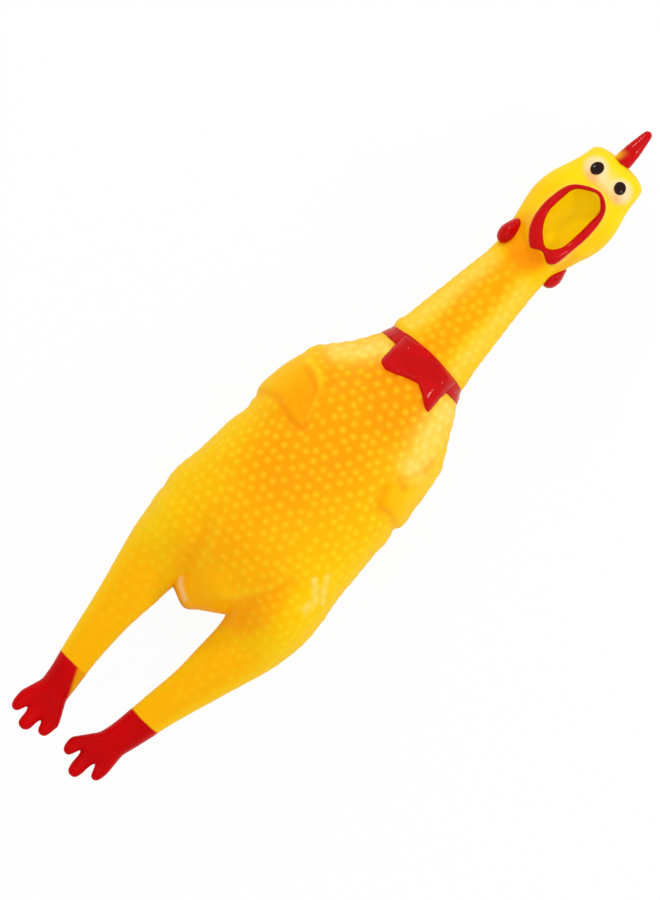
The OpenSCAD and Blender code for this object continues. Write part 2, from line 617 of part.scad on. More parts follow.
module eyeball(side)
    egg([eye_x + side * eye_span / 2, eye_h, eye_z - 4], [eye_d / 2, eye_d / 2 + 0.3, 4 + eye_rise], 0, 22);
module eye(side) color("moccasin") difference() {
    eyeball(side);
    head_form();
}
module left_eye() eye(-1);
module right_eye() eye(1);

module pupil(side) color("black") difference() {
    egg([eye_x + side * (eye_span / 2 - 0.2), eye_h + 0.6, eye_z - 2], [pupil_d * 0.62, pupil_d * 0.7,
        2 + eye_rise + pupil_rise], 0, 18);
    eyeball(side);
    head_form();
}
module left_pupil() pupil(-1);
module right_pupil() pupil(1);

// ---- Legs, each made once for both sides ----

module leg_piece(side, low, high, tone) {
    hip_x = side < 0 ? hip_left : hip_right;
    ankle_x = side < 0 ? ankle_left : ankle_right;
    color(tone) skin_tube(leg_rings(side, hip_x, ankle_x), low, high, 2, leg_sides);
}
module hip_fold(side) leg_piece(side, hip_fold_h + run_gap, hip_h, "orange");
module thigh(side) leg_piece(side, thigh_h, hip_fold_h, "gold");
module knee_fold(side) leg_piece(side, knee_h + run_gap, thigh_h, "orange");
module shank(side) leg_piece(side, shank_h, knee_h, "gold");
module ankle_fold(side) leg_piece(side, ankle_h + run_gap, shank_h, "orange");

// A webbed foot with three blunt toes
module foot(side) color("firebrick") {
    hip_x = side < 0 ? hip_left : hip_right;
    ankle_x = side < 0 ? ankle_left : ankle_right;
    turn = side < 0 ? toes_in_left : toes_in_right;
    x = side * (ankle_x - turn);
    heel = [side * (ankle_x - 0.6 - turn * 0.3), foot_len * 0.62, axis_z - 4];
    heel_r = [ankle_d / 2 - 0.1, 3, ankle_d / 2 - 0.5];
    z = axis_z - 2;
    r = toe_d / 2;
    web_h = foot_len * 0.25;
    loft(leg_rings(side, hip_x, ankle_x), foot_len - 6, ankle_h, 2, leg_sides);
    hull() {
        egg([side * (ankle_x - 0.6), foot_len - 6, axis_z - 4], [ankle_d / 2, 1, ankle_d / 2], 0, 20);
        egg(heel, heel_r, 0, 14);
    }
    for (edge = [-1, 1]) hull() {
        egg(heel, heel_r, 0, 14);
        egg([x + edge * (foot_w / 2 - r - 0.4), web_h + 2, z], [r + 0.2, r + 0.6, r + 0.5], 0, 12);
        egg([x, web_h + 1, z], [r, r + 0.6, r + 0.5], 0, 12);
    }
    for (toe = [-1, 0, 1]) {
        reach = toe == 0 ? 0 : 2 + turn * 0.5;
        middle = [x + toe * (foot_w / 2 - r - 0.4), web_h - 0.6 + abs(toe) * turn * 0.2, z + 0.4];
        hull() {
            egg([x + toe * (foot_w / 2 - r - 1), web_h + 3, z - 0.6], [r, r, r + 0.6], 0, 12);
            egg(middle, [r, r, r + 0.3], 0, 12);
        }
        hull() {
            egg(middle, [r, r, r + 0.3], 0, 12);
            egg([x + toe * (foot_w / 2 - r - 0.8), reach + r, z + 1.4], [r, r, r], 0, 12);
        }
    }
}

module left_hip_fold() hip_fold(-1);
module left_thigh() thigh(-1);
module left_knee_fold() knee_fold(-1);
module left_shank() shank(-1);
module left_ankle_fold() ankle_fold(-1);
module left_foot() foot(-1);
module right_hip_fold() hip_fold(1);
module right_thigh() thigh(1);
module right_knee_fold() knee_fold(1);
module right_shank() shank(1);
module right_ankle_fold() ankle_fold(1);
module right_foot() foot(1);

// ---- Squeaker: a cup pushed up the throat, its cap, and a holder that pinches the reed ----

// Local +Z of the squeaker runs to the head
module in_throat() translate([throat_x, cup_h - rest_h, axis_z]) rotate([-90, 0, 0]) children();

module squeaker_cup() color("white") in_throat() difference() {
    cylinder(r = cup_r, h = squeaker_len, $fn = 48);
    translate([0, 0, plate_t]) cylinder(r = cup_r - cup_t, h = squeaker_len, $fn = 48);
    translate([0, 0, -1]) cylinder(d = air_d, h = plate_t + 2, $fn = 32);
}

module squeaker_cap() color("ivory") in_throat() translate([0, 0, squeaker_len]) difference() {
    cylinder(r = cup_r, h = plate_t, $fn = 48);
    translate([0, 0, -1]) cylinder(d = air_d, h = plate_t + 2, $fn = 32);
}

// Round block over the air hole: the air blows along its channel and lifts the reed
module reed_holder() color("lightgray") in_throat() translate([0, 0, plate_t]) difference() {
    cylinder(d = holder_d, h = holder_len, $fn = 36);
    translate([-reed_w / 2 - run_gap, -reed_slot / 2, -1]) cube([reed_w + 2 * run_gap, reed_slot, holder_len + 2]);
    translate([-reed_w / 2 + 0.4, -holder_d, -1]) cube([reed_w - 0.8, holder_d, holder_len - 1.4 + 1]);
    translate([-reed_w / 2 - run_gap, 0, -1]) cube([reed_w + 2 * run_gap, 1, holder_len - 1.4 + 1]);
}

module reed() color("white") in_throat()
    translate([-reed_w / 2, -reed_t / 2, plate_t + run_gap]) cube([reed_w, reed_t, reed_len]);

torso_shell();
belly_panel();
belly_fold_ring();
left_wing();
right_wing();
tail_cone();
collar_band();
bow_tie();
neck_lower_fold();
neck_middle();
neck_upper_fold();
throat_sleeve();
head_shell();
mouth_lining();
beak_lip();
comb();
left_wattle();
right_wattle();
left_eye();
right_eye();
left_pupil();
right_pupil();
left_hip_fold();
left_thigh();
left_knee_fold();
left_shank();
left_ankle_fold();
left_foot();
right_hip_fold();
right_thigh();
right_knee_fold();
right_shank();
right_ankle_fold();
right_foot();
squeaker_cup();
squeaker_cap();
reed_holder();
reed();
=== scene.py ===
import math

import bmesh
import bpy
import numpy as np
from bpy.props import FloatProperty, FloatVectorProperty, PointerProperty
from mathutils import Matrix, Vector
from mathutils.bvhtree import BVHTree
from mathutils.kdtree import KDTree


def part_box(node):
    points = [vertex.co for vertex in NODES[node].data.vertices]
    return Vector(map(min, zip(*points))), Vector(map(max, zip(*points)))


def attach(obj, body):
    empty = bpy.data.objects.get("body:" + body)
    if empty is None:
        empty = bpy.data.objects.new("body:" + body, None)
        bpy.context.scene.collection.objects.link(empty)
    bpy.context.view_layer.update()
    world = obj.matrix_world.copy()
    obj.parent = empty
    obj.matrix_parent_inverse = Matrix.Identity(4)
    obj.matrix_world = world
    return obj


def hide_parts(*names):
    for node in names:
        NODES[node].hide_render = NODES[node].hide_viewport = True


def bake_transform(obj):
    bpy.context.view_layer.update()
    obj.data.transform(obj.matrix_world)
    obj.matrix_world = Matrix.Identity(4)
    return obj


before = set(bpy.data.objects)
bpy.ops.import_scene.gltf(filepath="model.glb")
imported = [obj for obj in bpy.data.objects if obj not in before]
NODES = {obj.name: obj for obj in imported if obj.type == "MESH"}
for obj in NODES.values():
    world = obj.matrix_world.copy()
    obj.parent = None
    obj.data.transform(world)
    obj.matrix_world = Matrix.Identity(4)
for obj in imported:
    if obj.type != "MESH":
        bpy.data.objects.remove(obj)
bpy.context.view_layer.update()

bl_info = {
    "name": "Rubber chicken",
    "version": (1, 0, 0),
    "blender": (4, 5, 0),
    "location": "3D view > Sidebar > Rubber chicken",
    "description": "Dresses the packed solids of a squeaky soft vinyl chicken",
    "category": "Object",
}

NECK_NODES = ("neck_lower_fold", "neck_middle", "neck_upper_fold", "throat_sleeve")
BODY_NODES = ("torso_shell", "belly_fold_ring", "belly_panel")
LEG_NODES = ("hip_fold", "thigh", "knee_fold", "shank", "ankle_fold", "foot")

# The tables and functions below are in millimetres, and their heights count up from the toe tips.
# This is how far up the origin of the frame lies.
ORIGIN_UP = 136.5


def to_metres(place):
    """Places in millimetres above the toe tips as places in the frame, in metres."""
    return (np.asarray(place) - [0, ORIGIN_UP, 0]) / 1000


def box_mm(node):
    """Lowest and highest corner of a solid: across, above the toe tips, and above the table."""
    return np.round(np.array(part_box(node)) * 1000 + [0, ORIGIN_UP, 0], 3).tolist()


# Where the toy bends: the tops of the parts of a leg, and the bottoms of those of the neck
ANKLE, SHANK, KNEE, THIGH, HIP_FOLD, HIP = (
    box_mm(f"left_{part}")[1][1] for part in reversed(LEG_NODES))
COLLAR, NECK_MID, NOD, THROAT, HEAD = (box_mm(node)[0][1] for node in (*NECK_NODES, "head_shell"))
# The clearance above each fold of the neck, and how far a face may reach past a cut in the skin
FOLD_GAP, FACE_REACH = 0.3, 1
# Above the table: the middle of the neck, the top of the torso, and where the belly's crown moves as one
AXIS_Z = round(sum(corner[2] for corner in box_mm("neck_middle")) / 2, 1)
FOLD_Z, CAP_Z = box_mm("torso_shell")[1][2], 54.5


def hex_linear(code):
    """An sRGB hex colour as linear red, green, blue and alpha."""
    channels = [int(code[i : i + 2], 16) / 255 for i in (1, 3, 5)]
    return tuple([c / 12.92 if c <= 0.04045 else ((c + 0.055) / 1.055) ** 2.4 for c in channels] + [1.0])


def colour(name, description, code):
    """A property for a colour, from its sRGB hex value."""
    return FloatVectorProperty(
        name=name, description=description, subtype="COLOR", size=4, min=0.0, max=1.0,
        default=hex_linear(code))


def length(name, description, default, least, most):
    """A property for a length, in metres."""
    return FloatProperty(
        name=name, description=description, unit="LENGTH", precision=5, default=default, min=least, max=most)


# ---- Sizes and colours that a user would change ----


class ChickenSizes(bpy.types.PropertyGroup):
    # the two grids set how fine the meshes are, and no size of the toy
    skin_grid: FloatProperty(
        name="Skin grid", description="Spacing in mm of the mesh on which the skin is smoothed",
        default=0.8, min=0.5, max=2.0)
    painted_grid: FloatProperty(
        name="Painted grid", description="Mesh spacing in mm of the small painted pieces",
        default=0.4, min=0.25, max=1.0)
    bump_width: length("Bump width", "Width of one goose bump over its foot", 0.0039, 0.001, 0.005)
    bump_rise: length("Bump rise", "How far a goose bump stands proud", 0.00034, 0.0, 0.001)
    bump_gap: length("Bump gap", "Distance from one goose bump to the next", 0.0044, 0.003, 0.006)
    wing_rise: length("Wing rise", "How far a folded wing stands proud", 0.0013, 0.0005, 0.003)
    pupil_width: length("Pupil width", "Width of a pupil", 0.0046, 0.003, 0.006)


class ChickenColours(bpy.types.PropertyGroup):
    lemon: colour("Lemon", "Colour of the moulded skin", "#FFCC00")
    # lemon top lightens the bump tops as a painted highlight
    lemon_bump_highlight: colour("Lemon top", "Colour of a goose bump on the bare skin", "#FFDE1C")
    # the orange of the front is airbrush, and in part painted shade where the skin faces up
    orange: colour("Orange", "Airbrushed colour of the front", "#FF9A00")
    # deep orange is painted shade in the creases
    crease_shade: colour("Deep orange", "Airbrushed colour in creases", "#FF8400")
    # bump top lightens the bump tops of the orange front as a painted highlight
    orange_bump_highlight: colour("Bump top", "Colour of a goose bump that the airbrush left lighter", "#FFC012")
    # pale is a painted highlight, laid in streaks on the shoulders, the right thigh and the sides of the neck
    pale: colour("Pale", "Colour of the skin where it is thin and bare", "#FFE070")
    crown: colour("Crown", "Colour of the moulded skin on top of the head", "#FFDC08")
    cream: colour("Cream", "Colour sprayed round the eyes", "#FCE2A6")
    mouth: colour("Mouth", "Colour inside the open beak", "#FFD800")
    red: colour("Red", "Colour of the painted parts", "#DA0006")
    red_thick: colour("Thick red", "Colour of the paint where it lies thick", "#B20002")
    pupil: colour("Pupil", "Colour of the pupils", "#2A0A08")


def sizes():
    """The sizes as the sidebar shows them."""
    return bpy.context.scene.chicken_sizes


def colours():
    """The colours as the sidebar shows them."""
    return bpy.context.scene.chicken_colours


# ---- Meshes ----


def smooth_step(low, high, value):
    """0 up to low, 1 from high on, and smooth between. With low above high it falls instead."""
    share = np.clip((value - low) / (high - low), 0, 1)
    return share * share * (3 - 2 * share)


def bell(away, width, power=2):
    """1 at no distance, falling to nothing past a width. A higher power has a flatter top."""
    return np.exp(-((away / width) ** power))


def merged_mesh(name, *nodes):
    """A new object with copies of some solids of the frame, their loose triangles joined."""
    bm = bmesh.new()
    for node in nodes:
        bm.from_mesh(NODES[node].data)
    bmesh.ops.remove_doubles(bm, verts=bm.verts, dist=2e-6)
    return new_object(name, bm)


def new_object(name, bm):
    """An object from a bmesh, which is freed."""
    mesh = bpy.data.meshes.new(name)
    bm.to_mesh(mesh)
    bm.free()
    obj = bpy.data.objects.new(name, mesh)
    bpy.context.scene.collection.objects.link(obj)
    return obj


def applied(obj):
    """Turns an object's modifiers into its mesh."""
    bpy.context.view_layer.update()
    graph = bpy.context.evaluated_depsgraph_get()
    mesh = bpy.data.meshes.new_from_object(
        obj.evaluated_get(graph), preserve_all_data_layers=True, depsgraph=graph)
    obj.modifiers.clear()
    old, obj.data = obj.data, mesh
    bpy.data.meshes.remove(old)
    return obj


def regrid(obj, grid_mm):
    """Fuses an object's solids into one skin with an even mesh."""
    even = obj.modifiers.new("even", "REMESH")
    even.mode = "VOXEL"
    even.voxel_size = grid_mm / 1000
    even.use_smooth_shade = True
    return applied(obj)


def soften(obj, rounds, share=None):
    """Smooths a mesh, by each vertex's own share where one is given."""
    most = 30  # rounds that one modifier takes
    if share is not None:
        group = obj.vertex_groups.new(name="share")
        steps = np.round(share * 10).astype(int)
        for step in range(1, 11):
            group.add(np.flatnonzero(steps == step).tolist(), step / 10, "REPLACE")
    while rounds > 0:
        smooth = obj.modifiers.new("soft", "SMOOTH")
        smooth.factor = 0.5
        smooth.iterations = min(rounds, most)
        if share is not None:
            smooth.vertex_group = "share"
        rounds -= most
    applied(obj)
    obj.vertex_groups.clear()
    return obj


def refine(obj):
    """Subdivides a mesh once."""
    finer = obj.modifiers.new("finer", "SUBSURF")
    finer.levels = finer.render_levels = 1
    return applied(obj)


def places(mesh):
    """Where a mesh's vertices lie, in millimetres: across, above the toe tips, and above the table."""
    co = np.empty(len(mesh.vertices) * 3, np.float32)
    mesh.vertices.foreach_get("co", co)
    return co.reshape(-1, 3).astype(float) * 1000 + [0, ORIGIN_UP, 0]


def directions(mesh):
    """The way that each vertex faces."""
    normals = np.empty(len(mesh.vertices) * 3, np.float32)
    mesh.vertex_normals.foreach_get("vector", normals)
    return normals.reshape(-1, 3).astype(float)


def move_to(mesh, place):
    """Puts a mesh's vertices at places in millimetres."""
    mesh.vertices.foreach_set("co", to_metres(place).astype(np.float32).ravel())
    mesh.update()


def mark(mesh, name, values):
    """Keeps a number for each vertex, for the materials to read."""
    layer = mesh.attributes.get(name) or mesh.attributes.new(name, "FLOAT", "POINT")
    layer.data.foreach_set("value", np.asarray(values, np.float32))


def along(heights, table):
    """A value at each height, in a straight line between the rows of a table."""
    rows = np.array(table, float)
    return np.interp(heights, rows[:, 0], rows[:, 1])


def rolling(place, scale, seed):
    """Slow unevenness between -1 and 1, from a few crossing waves."""
    rng = np.random.default_rng(seed)
    waves = 5
    total = np.zeros(len(place))
    for _ in range(waves):
        way = rng.normal(size=3)
        way *= 2 * math.pi / (scale * np.linalg.norm(way) * rng.uniform(0.7, 1.4))
        total += np.sin(place @ way + rng.uniform(0, 2 * math.pi))
    return total / waves


# ---- Goose bumps ----

# Where the middle of each leg lies: height, and across
LEFT_LEG = ((0, -13.4), (19, -14.3), (25, -14.9), (39, -17.3), (56, -19.2), (66, -19.9), (77, -21),
            (92, -18.7), (102, -16.4))
RIGHT_LEG = ((0, 11.2), (19, 14), (25, 15.5), (39, 17.9), (56, 21.3), (66, 22.8), (77, 24.6), (92, 22.3),
             (102, 20))
# How strongly the bumps stand out: height, and share
BUMP_STRENGTH = ((0, 0), (42, 0), (50, 0.3), (70, 0.35), (84, 0.5), (100, 0.7), (120, 0.85), (145, 1),
                 (185, 1), (205, 0.85), (238, 0.8), (245, 0.35), (250, 0), (300, 0))
# From row to row as a share of the gap, and the closest that two bumps may stand as a share of it
ROW_PITCH, CLOSEST = 0.88, 0.6
# How far a bump strays along its row, as a share of its step, and up or down in mm
STRAY_ALONG, STRAY_UP = 0.24, 0.8


def leg_middle(side, h):
    """Where the middle of a leg lies at a height."""
    return along(h, LEFT_LEG if side < 0 else RIGHT_LEG)


def bump_row(tree, x, h, z, gap, stagger, rng):
    """Places for one row of bumps, evenly spaced round the skin at one height."""
    outline = []
    rays = 120
    for k in range(rays):
        turn = math.radians(90 + 360 / rays * k)
        far = Vector((math.cos(turn), 0, math.sin(turn)))
        hit = tree.ray_cast(Vector((x, h - ORIGIN_UP, z)) / 1000, far)[0]
        if hit is None:
            return []
        outline.append(np.array(hit) * 1000)
    outline.append(outline[0])
    outline = np.array(outline)
    walked = np.concatenate([[0], np.cumsum(np.linalg.norm(np.diff(outline, axis=0), axis=1))])
    count = max(6, round(walked[-1] / gap))
    row = []
    for k in range(count):
        at = (k + stagger + rng.uniform(-STRAY_ALONG, STRAY_ALONG)) / count % 1 * walked[-1]
        spot = [np.interp(at, walked, outline[:, i]) for i in range(3)]
        spot[1] += rng.uniform(-STRAY_UP, STRAY_UP)
        row.append(tree.find_nearest(Vector(spot) / 1000)[0])
    return row


def bump_places(tree, gap):
    """The middles of all bumps: rows round the body and neck, and rows round each leg."""
    rng = np.random.default_rng(7)
    spots = []
    pitch = gap * ROW_PITCH
    row, h = 0, HIP + 5
    while h < HEAD - 4:
        # the bumps stand a little closer on the neck
        closer = gap * (1 if h < COLLAR else 0.9)
        spots += bump_row(tree, 0.4, h, AXIS_Z, closer, 0.5 * (row % 2), rng)
        h += pitch * closer / gap
        row += 1
    for side in (-1, 1):
        row, h = 0, HIP + 1
        while h > KNEE - 4:
            middle = float(leg_middle(side, h))
            spots += bump_row(tree, middle, h, AXIS_Z - 2, gap, 0.5 * (row % 2), rng)
            h -= pitch
            row += 1
    # where rows of the legs and the body meet, bumps that would stand too close are left out
    kept, seen = [], {}
    for spot in spots:
        cell = tuple(int(v * 1000 // gap) for v in spot)
        near = [
            p for dx in (-1, 0, 1) for dy in (-1, 0, 1) for dz in (-1, 0, 1)
            for p in seen.get((cell[0] + dx, cell[1] + dy, cell[2] + dz), [])]
        if all((p - spot).length * 1000 > gap * CLOSEST for p in near):
            seen.setdefault(cell, []).append(spot)
            kept.append(spot)
    found = KDTree(len(kept))
    for i, spot in enumerate(kept):
        found.insert(spot, i)
    found.balance()
    return found


# ---- The skin ----

# Corners of the folded wings seen from the belly side: across, and height above the toe tips
LEFT_WING = ((-60, 178), (-31.5, 176.5), (-26.5, 173.6), (-19.2, 170), (-18.9, 163), (-14.8, 152.4),
             (-15.6, 149.5), (-21, 148.8), (-28.3, 150.8), (-33, 149), (-36, 146.3), (-60, 145.5))
RIGHT_WING = ((60, 177), (31, 176.2), (27.6, 172.6), (27, 168), (24.3, 163), (22, 160), (21, 155),
              (22.3, 150.4), (24.2, 148.2), (30, 148.2), (35, 146.3), (60, 145.5))
# Folds of the wings and of the lower belly: points, width, and how far in mm they rise or sink. A sunken fold
# is painted darker as shade, and a raised one lighter as a highlight.
FOLDS = (
    (((-28.2, 168.1), (-23, 166.8), (-19.6, 164.3)), 1.5, 0.75),
    (((-18.8, 161), (-17, 157), (-15.1, 152.7)), 0.7, 0.7),
    (((-31.2, 171.6), (-29.8, 169.8)), 1.3, 0.35),
    (((-18.8, 171), (-18.8, 163)), 1.0, -0.35),
    (((-26.6, 165.4), (-23, 163.9), (-19.6, 162)), 1.3, -0.45),
    (((-19.4, 161), (-17, 157), (-14.4, 152.3), (-15, 149.2), (-19.1, 148.2)), 0.95, -0.5),
    (((-19.1, 148.2), (-24, 149.8), (-28.2, 151.4), (-33, 149.4), (-35.4, 146.9)), 1.3, -0.35),
    (((-26.2, 174), (-23, 171.6), (-20, 169.6)), 1.8, -0.3),
    (((26.4, 172.6), (27.2, 168.6)), 1.1, -0.35),
    (((27, 168), (24.5, 163.5), (22.4, 160.4)), 1.1, -0.3),
    (((22.3, 160.1), (25.2, 158.8)), 1.25, -0.5),
    (((21, 155), (22.3, 150.5), (24, 148.2), (26.4, 148.3)), 1.45, -0.5),
    (((27, 148.5), (31, 148), (34.6, 146.4)), 1.2, -0.3),
    (((31, 166), (28, 157)), 1.7, 0.3),
    (((-13.4, 106), (-11, 99), (-8.8, 94.6), (-7.4, 89)), 1.7, 0.3),
    (((17.6, 109), (15.7, 100), (12.6, 95), (9.6, 91), (6.4, 87.4)), 1.8, 0.35),
    (((-16, 107), (-14, 98), (-12.4, 90), (-10.8, 83.5)), 3.2, -0.35),
    (((20.4, 107), (18.2, 98), (14.8, 91), (12, 85.4)), 3.4, -0.38),
)
# Where the inner foot of the lip lies: height above the toe tips, and height above the back
LIP_FOOT = ((252, 47.4), (256, 45.9), (260, 44.8), (264, 44.1), (268, 43.8), (272, 43.9), (276, 44),
            (280, 44.7), (284, 47.5))
# The webs between the toes: across, height above the toe tips, and how far up in mm they are cut
TOE_WEBS = ((-16.9, 7, 1.3), (-10.4, 7, 1.5), (8.1, 7, 3.2), (14.8, 7, 3.2))
# How far the outline swells or sinks on the sides: height, half the stretch, left and right, in mm
SIDES = ((97, 4.5, 1.1, 0), (140.5, 3.6, -1.0, 0.7), (152, 4, 0.2, 0.6), (160, 9, 1.2, 0), (188, 6, 0.6, 0.9),
         (201.4, 2, 0.8, 0.3))
# How much of the smoothing each height takes: the body most, the feet and the head little
SOFTNESS = ((0, 0.1), (28, 0.12), (40, 0.2), (70, 0.4), (84, 1), (186, 1), (200, 0.35), (246, 0.3),
            (256, 0.3), (300, 0.34))
# The height of both eyes, and where the eyeballs and the sprays of cream round them lie across
EYE_HEIGHT = 289.3
EYEBALLS, EYE_CREAMS = (-4.3, 8.5), (-3.6, 8.5)
# The blush below each eye: across, and height
EYE_BLUSHES = ((-2.6, 285.6), (8.2, 286))
# Half the width of the stripe down each leg, partly airbrush and partly painted shade where the leg faces up:
# height, and mm
LEG_STRIPE_AND_SHADE = ((20, 6.5), (40, 7.3), (55, 8.8), (68, 11.2), (80, 13.5), (100, 15))
# The upper edge of the red paint on the left and on the right foot
LEFT_PAINT_EDGE, RIGHT_PAINT_EDGE = 31.5, 34.1
# The airbrush, and with it painted shade where the skin faces up: across, height, half its width and half its
# height, and how much orange it left
ORANGE_SPRAYS_AND_SHADE = (
    (-9, 155, 27, 46, 0.72), (2, 150, 32, 62, 0.48), (3, 92, 30, 26, 0.5), (-18, 112, 18, 28, 0.3),
    (18, 92, 8, 18, 0.5), (1.5, 181, 19, 20, 0.9), (-1.5, 222, 8.8, 34, 0.75), (0, 249, 7.5, 7.5, 0.95),
    (-1, 203, 11, 7, 0.3), (-8, 254, 5.5, 9, 0.7), (12, 257.5, 4.5, 6.5, 0.35),
)
# Painted highlights, pale streaks on the shoulders, on the right thigh and down the sides of the neck:
# points, width and share
PAINTED_HIGHLIGHTS = (
    (((-14.4, 190), (-18.6, 184), (-25, 177.4)), 3.6, 0.95),
    (((17.4, 190), (19.6, 180), (23, 171), (23.4, 167)), 4.8, 0.95),
    (((28.4, 117.6), (30.4, 113.5), (33.2, 109.6)), 1.0, 0.8),
    (((25.6, 113.4), (28.6, 110.8), (31.4, 107.6)), 1.1, 0.9),
    (((30.8, 108), (30.6, 103.6)), 1.4, 0.7),
    (((10.6, 202), (9.4, 222), (8, 240)), 3.0, 0.4),
    (((-12.4, 204), (-10, 224), (-8.4, 240)), 3.0, 0.5),
)


def from_line(x, h, start, end):
    """How far each vertex lies from a straight stretch, seen from the belly side."""
    (ax, ay), (bx, by) = start, end
    share = np.clip(((x - ax) * (bx - ax) + (h - ay) * (by - ay)) / ((bx - ax) ** 2 + (by - ay) ** 2), 0, 1)
    return np.hypot(x - ax - share * (bx - ax), h - ay - share * (by - ay))


def inside_of(corners, x, h):
    """Distance from a closed outline, in millimetres, above zero inside it."""
    points = np.array(corners, float)
    best = np.full(len(x), np.inf)
    inside = np.zeros(len(x), bool)
    for start, end in zip(points, np.roll(points, -1, axis=0)):
        best = np.minimum(best, from_line(x, h, start, end))
        (ax, ay), (bx, by) = start, end
        if ay != by:
            inside ^= ((ay > h) != (by > h)) & (x < (bx - ax) * (h - ay) / (by - ay) + ax)
    return np.where(inside, best, -best)


def stroke(x, h, points, width):
    """How much of a soft stroke through some points lies on each vertex, from 0 to 1."""
    best = np.full(len(x), np.inf)
    for start, end in zip(points, points[1:]):
        best = np.minimum(best, from_line(x, h, start, end))
    return bell(best, width)


def sprayed(x, h, sprays):
    """How much paint some soft round sprays leave together."""
    bare = np.ones(len(x))
    for across, height, half_wide, half_high, share in sprays:
        away = np.hypot((x - across) / half_wide, (h - height) / half_high)
        bare *= 1 - share * (1 - smooth_step(0.45, 1.15, away))
    return 1 - bare


def beak_leaning(place):
    """The tips of the open beak lean to the right of its middle."""
    x, h, z = place.T
    near = (1 - smooth_step(5.5, 10.5, np.abs(x - 1.6))) * smooth_step(AXIS_Z, AXIS_Z + 6, z)
    lean = 1.9 * (1 - smooth_step(254, 268, h)) * smooth_step(246, 252, h)
    lean += 0.9 * smooth_step(276, 284, h) * (1 - smooth_step(286, 290, h))
    place[:, 0] += near * lean
    return place


def spread_toes(place):
    """Cuts the webs between the toes deeper, and broadens the middle toes."""
    x, h, _ = place.T.copy()
    for across, height, rise in TOE_WEBS:
        place[:, 1] += rise * bell(x - across, 1.5) * bell(h - height, 4)
    for middle in (-13.5, 11):
        away = x - middle
        place[:, 0] += 0.22 * away * bell(away, 3.2, 4) * smooth_step(10, 6, h)
    return place


def shortened_toes(place):
    """The toes end a little above the lowest point of their solids."""
    place[:, 1] += 1.1 * (1 - smooth_step(0, 24, place[:, 1]))
    return place


def skin_form():
    """The solids of the skin fused, softened and refined."""
    legs = [f"{side}_{part}" for side in ("left", "right") for part in LEG_NODES]
    skin = merged_mesh("skin", *BODY_NODES, *NECK_NODES, "head_shell", "mouth_lining", *legs)
    # a stopper in the duct under the mouth, so that the toy's hollow stays out of the skin
    bm = bmesh.new()
    bm.from_mesh(skin.data)
    stopper = bmesh.ops.create_icosphere(bm, subdivisions=3, radius=0.0042)
    bmesh.ops.translate(bm, verts=stopper["verts"], vec=(0.0012, 0.1215, 0.0376))
    bm.to_mesh(skin.data)
    bm.free()
    regrid(skin, sizes().skin_grid)
    h = places(skin.data)[:, 1]
    soften(skin, 60, along(h, SOFTNESS))
    return refine(skin)


def belly_side(facing):
    """1 where the skin faces the belly side, falling to nothing round the flanks."""
    return smooth_step(-0.35, 0.1, facing[:, 2])


def on_torso(h):
    """1 from above the hips up to the collar."""
    return smooth_step(HIP, HIP + 6, h) * (h < COLLAR)


def wing_form(place, facing):
    """How far the folded wings lift the skin, and how much of each vertex lies on one."""
    x, h, z = place.T
    lift, wing = np.zeros((2, len(x)))
    reach = smooth_step(10, 20, z) * on_torso(h)
    # the flap's edge is crisp on the flanks and soft on the breast
    soft = 1.2 + 1.3 * facing[:, 2].clip(0, 1)
    for corners in (LEFT_WING, RIGHT_WING):
        depth = inside_of(corners, x, h)
        flap = smooth_step(-1, 1, depth / soft) * reach
        fullness = 0.85 + 0.25 * bell(depth - 2.4, 3) - 0.3 * smooth_step(162, 177, h)
        lift += sizes().wing_rise * 1000 * flap * fullness
        wing = np.maximum(wing, flap)
    return lift, wing


def fold_form(place, facing):
    """How far the folds lift the skin, and how much of each vertex lies in a crease, which gets painted
    shade, or on a ridge, which gets a painted highlight.
    """
    x, h, z = place.T
    lift, crease, ridge = np.zeros((3, len(x)))
    reach = smooth_step(10, 20, z) * on_torso(h) * belly_side(facing)
    for points, width, rise in FOLDS:
        line = stroke(x, h, points, width) * reach
        lift += rise * line
        if rise < 0:
            # the painted shade in the creases is weaker low on the belly
            dark = along(h, ((108, 0.35), (120, 1)))
            crease = np.maximum(crease, line * min(1, -1.3 * rise) * dark)
        else:
            ridge = np.maximum(ridge, line * min(1, 1.2 * rise))
    return lift, crease, ridge


def body_form(place, facing):
    """How far the soft swells of the body, the root of the neck and the eyeballs lift the skin."""
    x, h, _ = place.T
    side = smooth_step(0.25, 0.8, np.abs(facing[:, 0]))
    # the lower belly is a soft lobe between the thighs, and the shoulders are full
    lift = 0.5 * bell(x - 2, 12.5, 4) * bell(h - 86, 13, 4) * belly_side(facing)
    lift += 1.1 * bell(h - 177, 6.5) * side * on_torso(h)
    for height, half, left, right in SIDES:
        lift += np.where(x < 0, left, right) * bell(h - height, half) * side
    # the root of the neck is drawn in under the collar
    lift -= 1.6 * bell(h - 196.6, 2, 4)
    # eyeballs under the sprayed cream
    for middle in EYEBALLS:
        away = np.hypot((x - middle) / 5.2, (h - EYE_HEIGHT) / 5.4)
        lift += 0.9 * (1 - np.minimum(away, 1) ** 2) ** 2 * (facing[:, 2] > 0)
    return lift


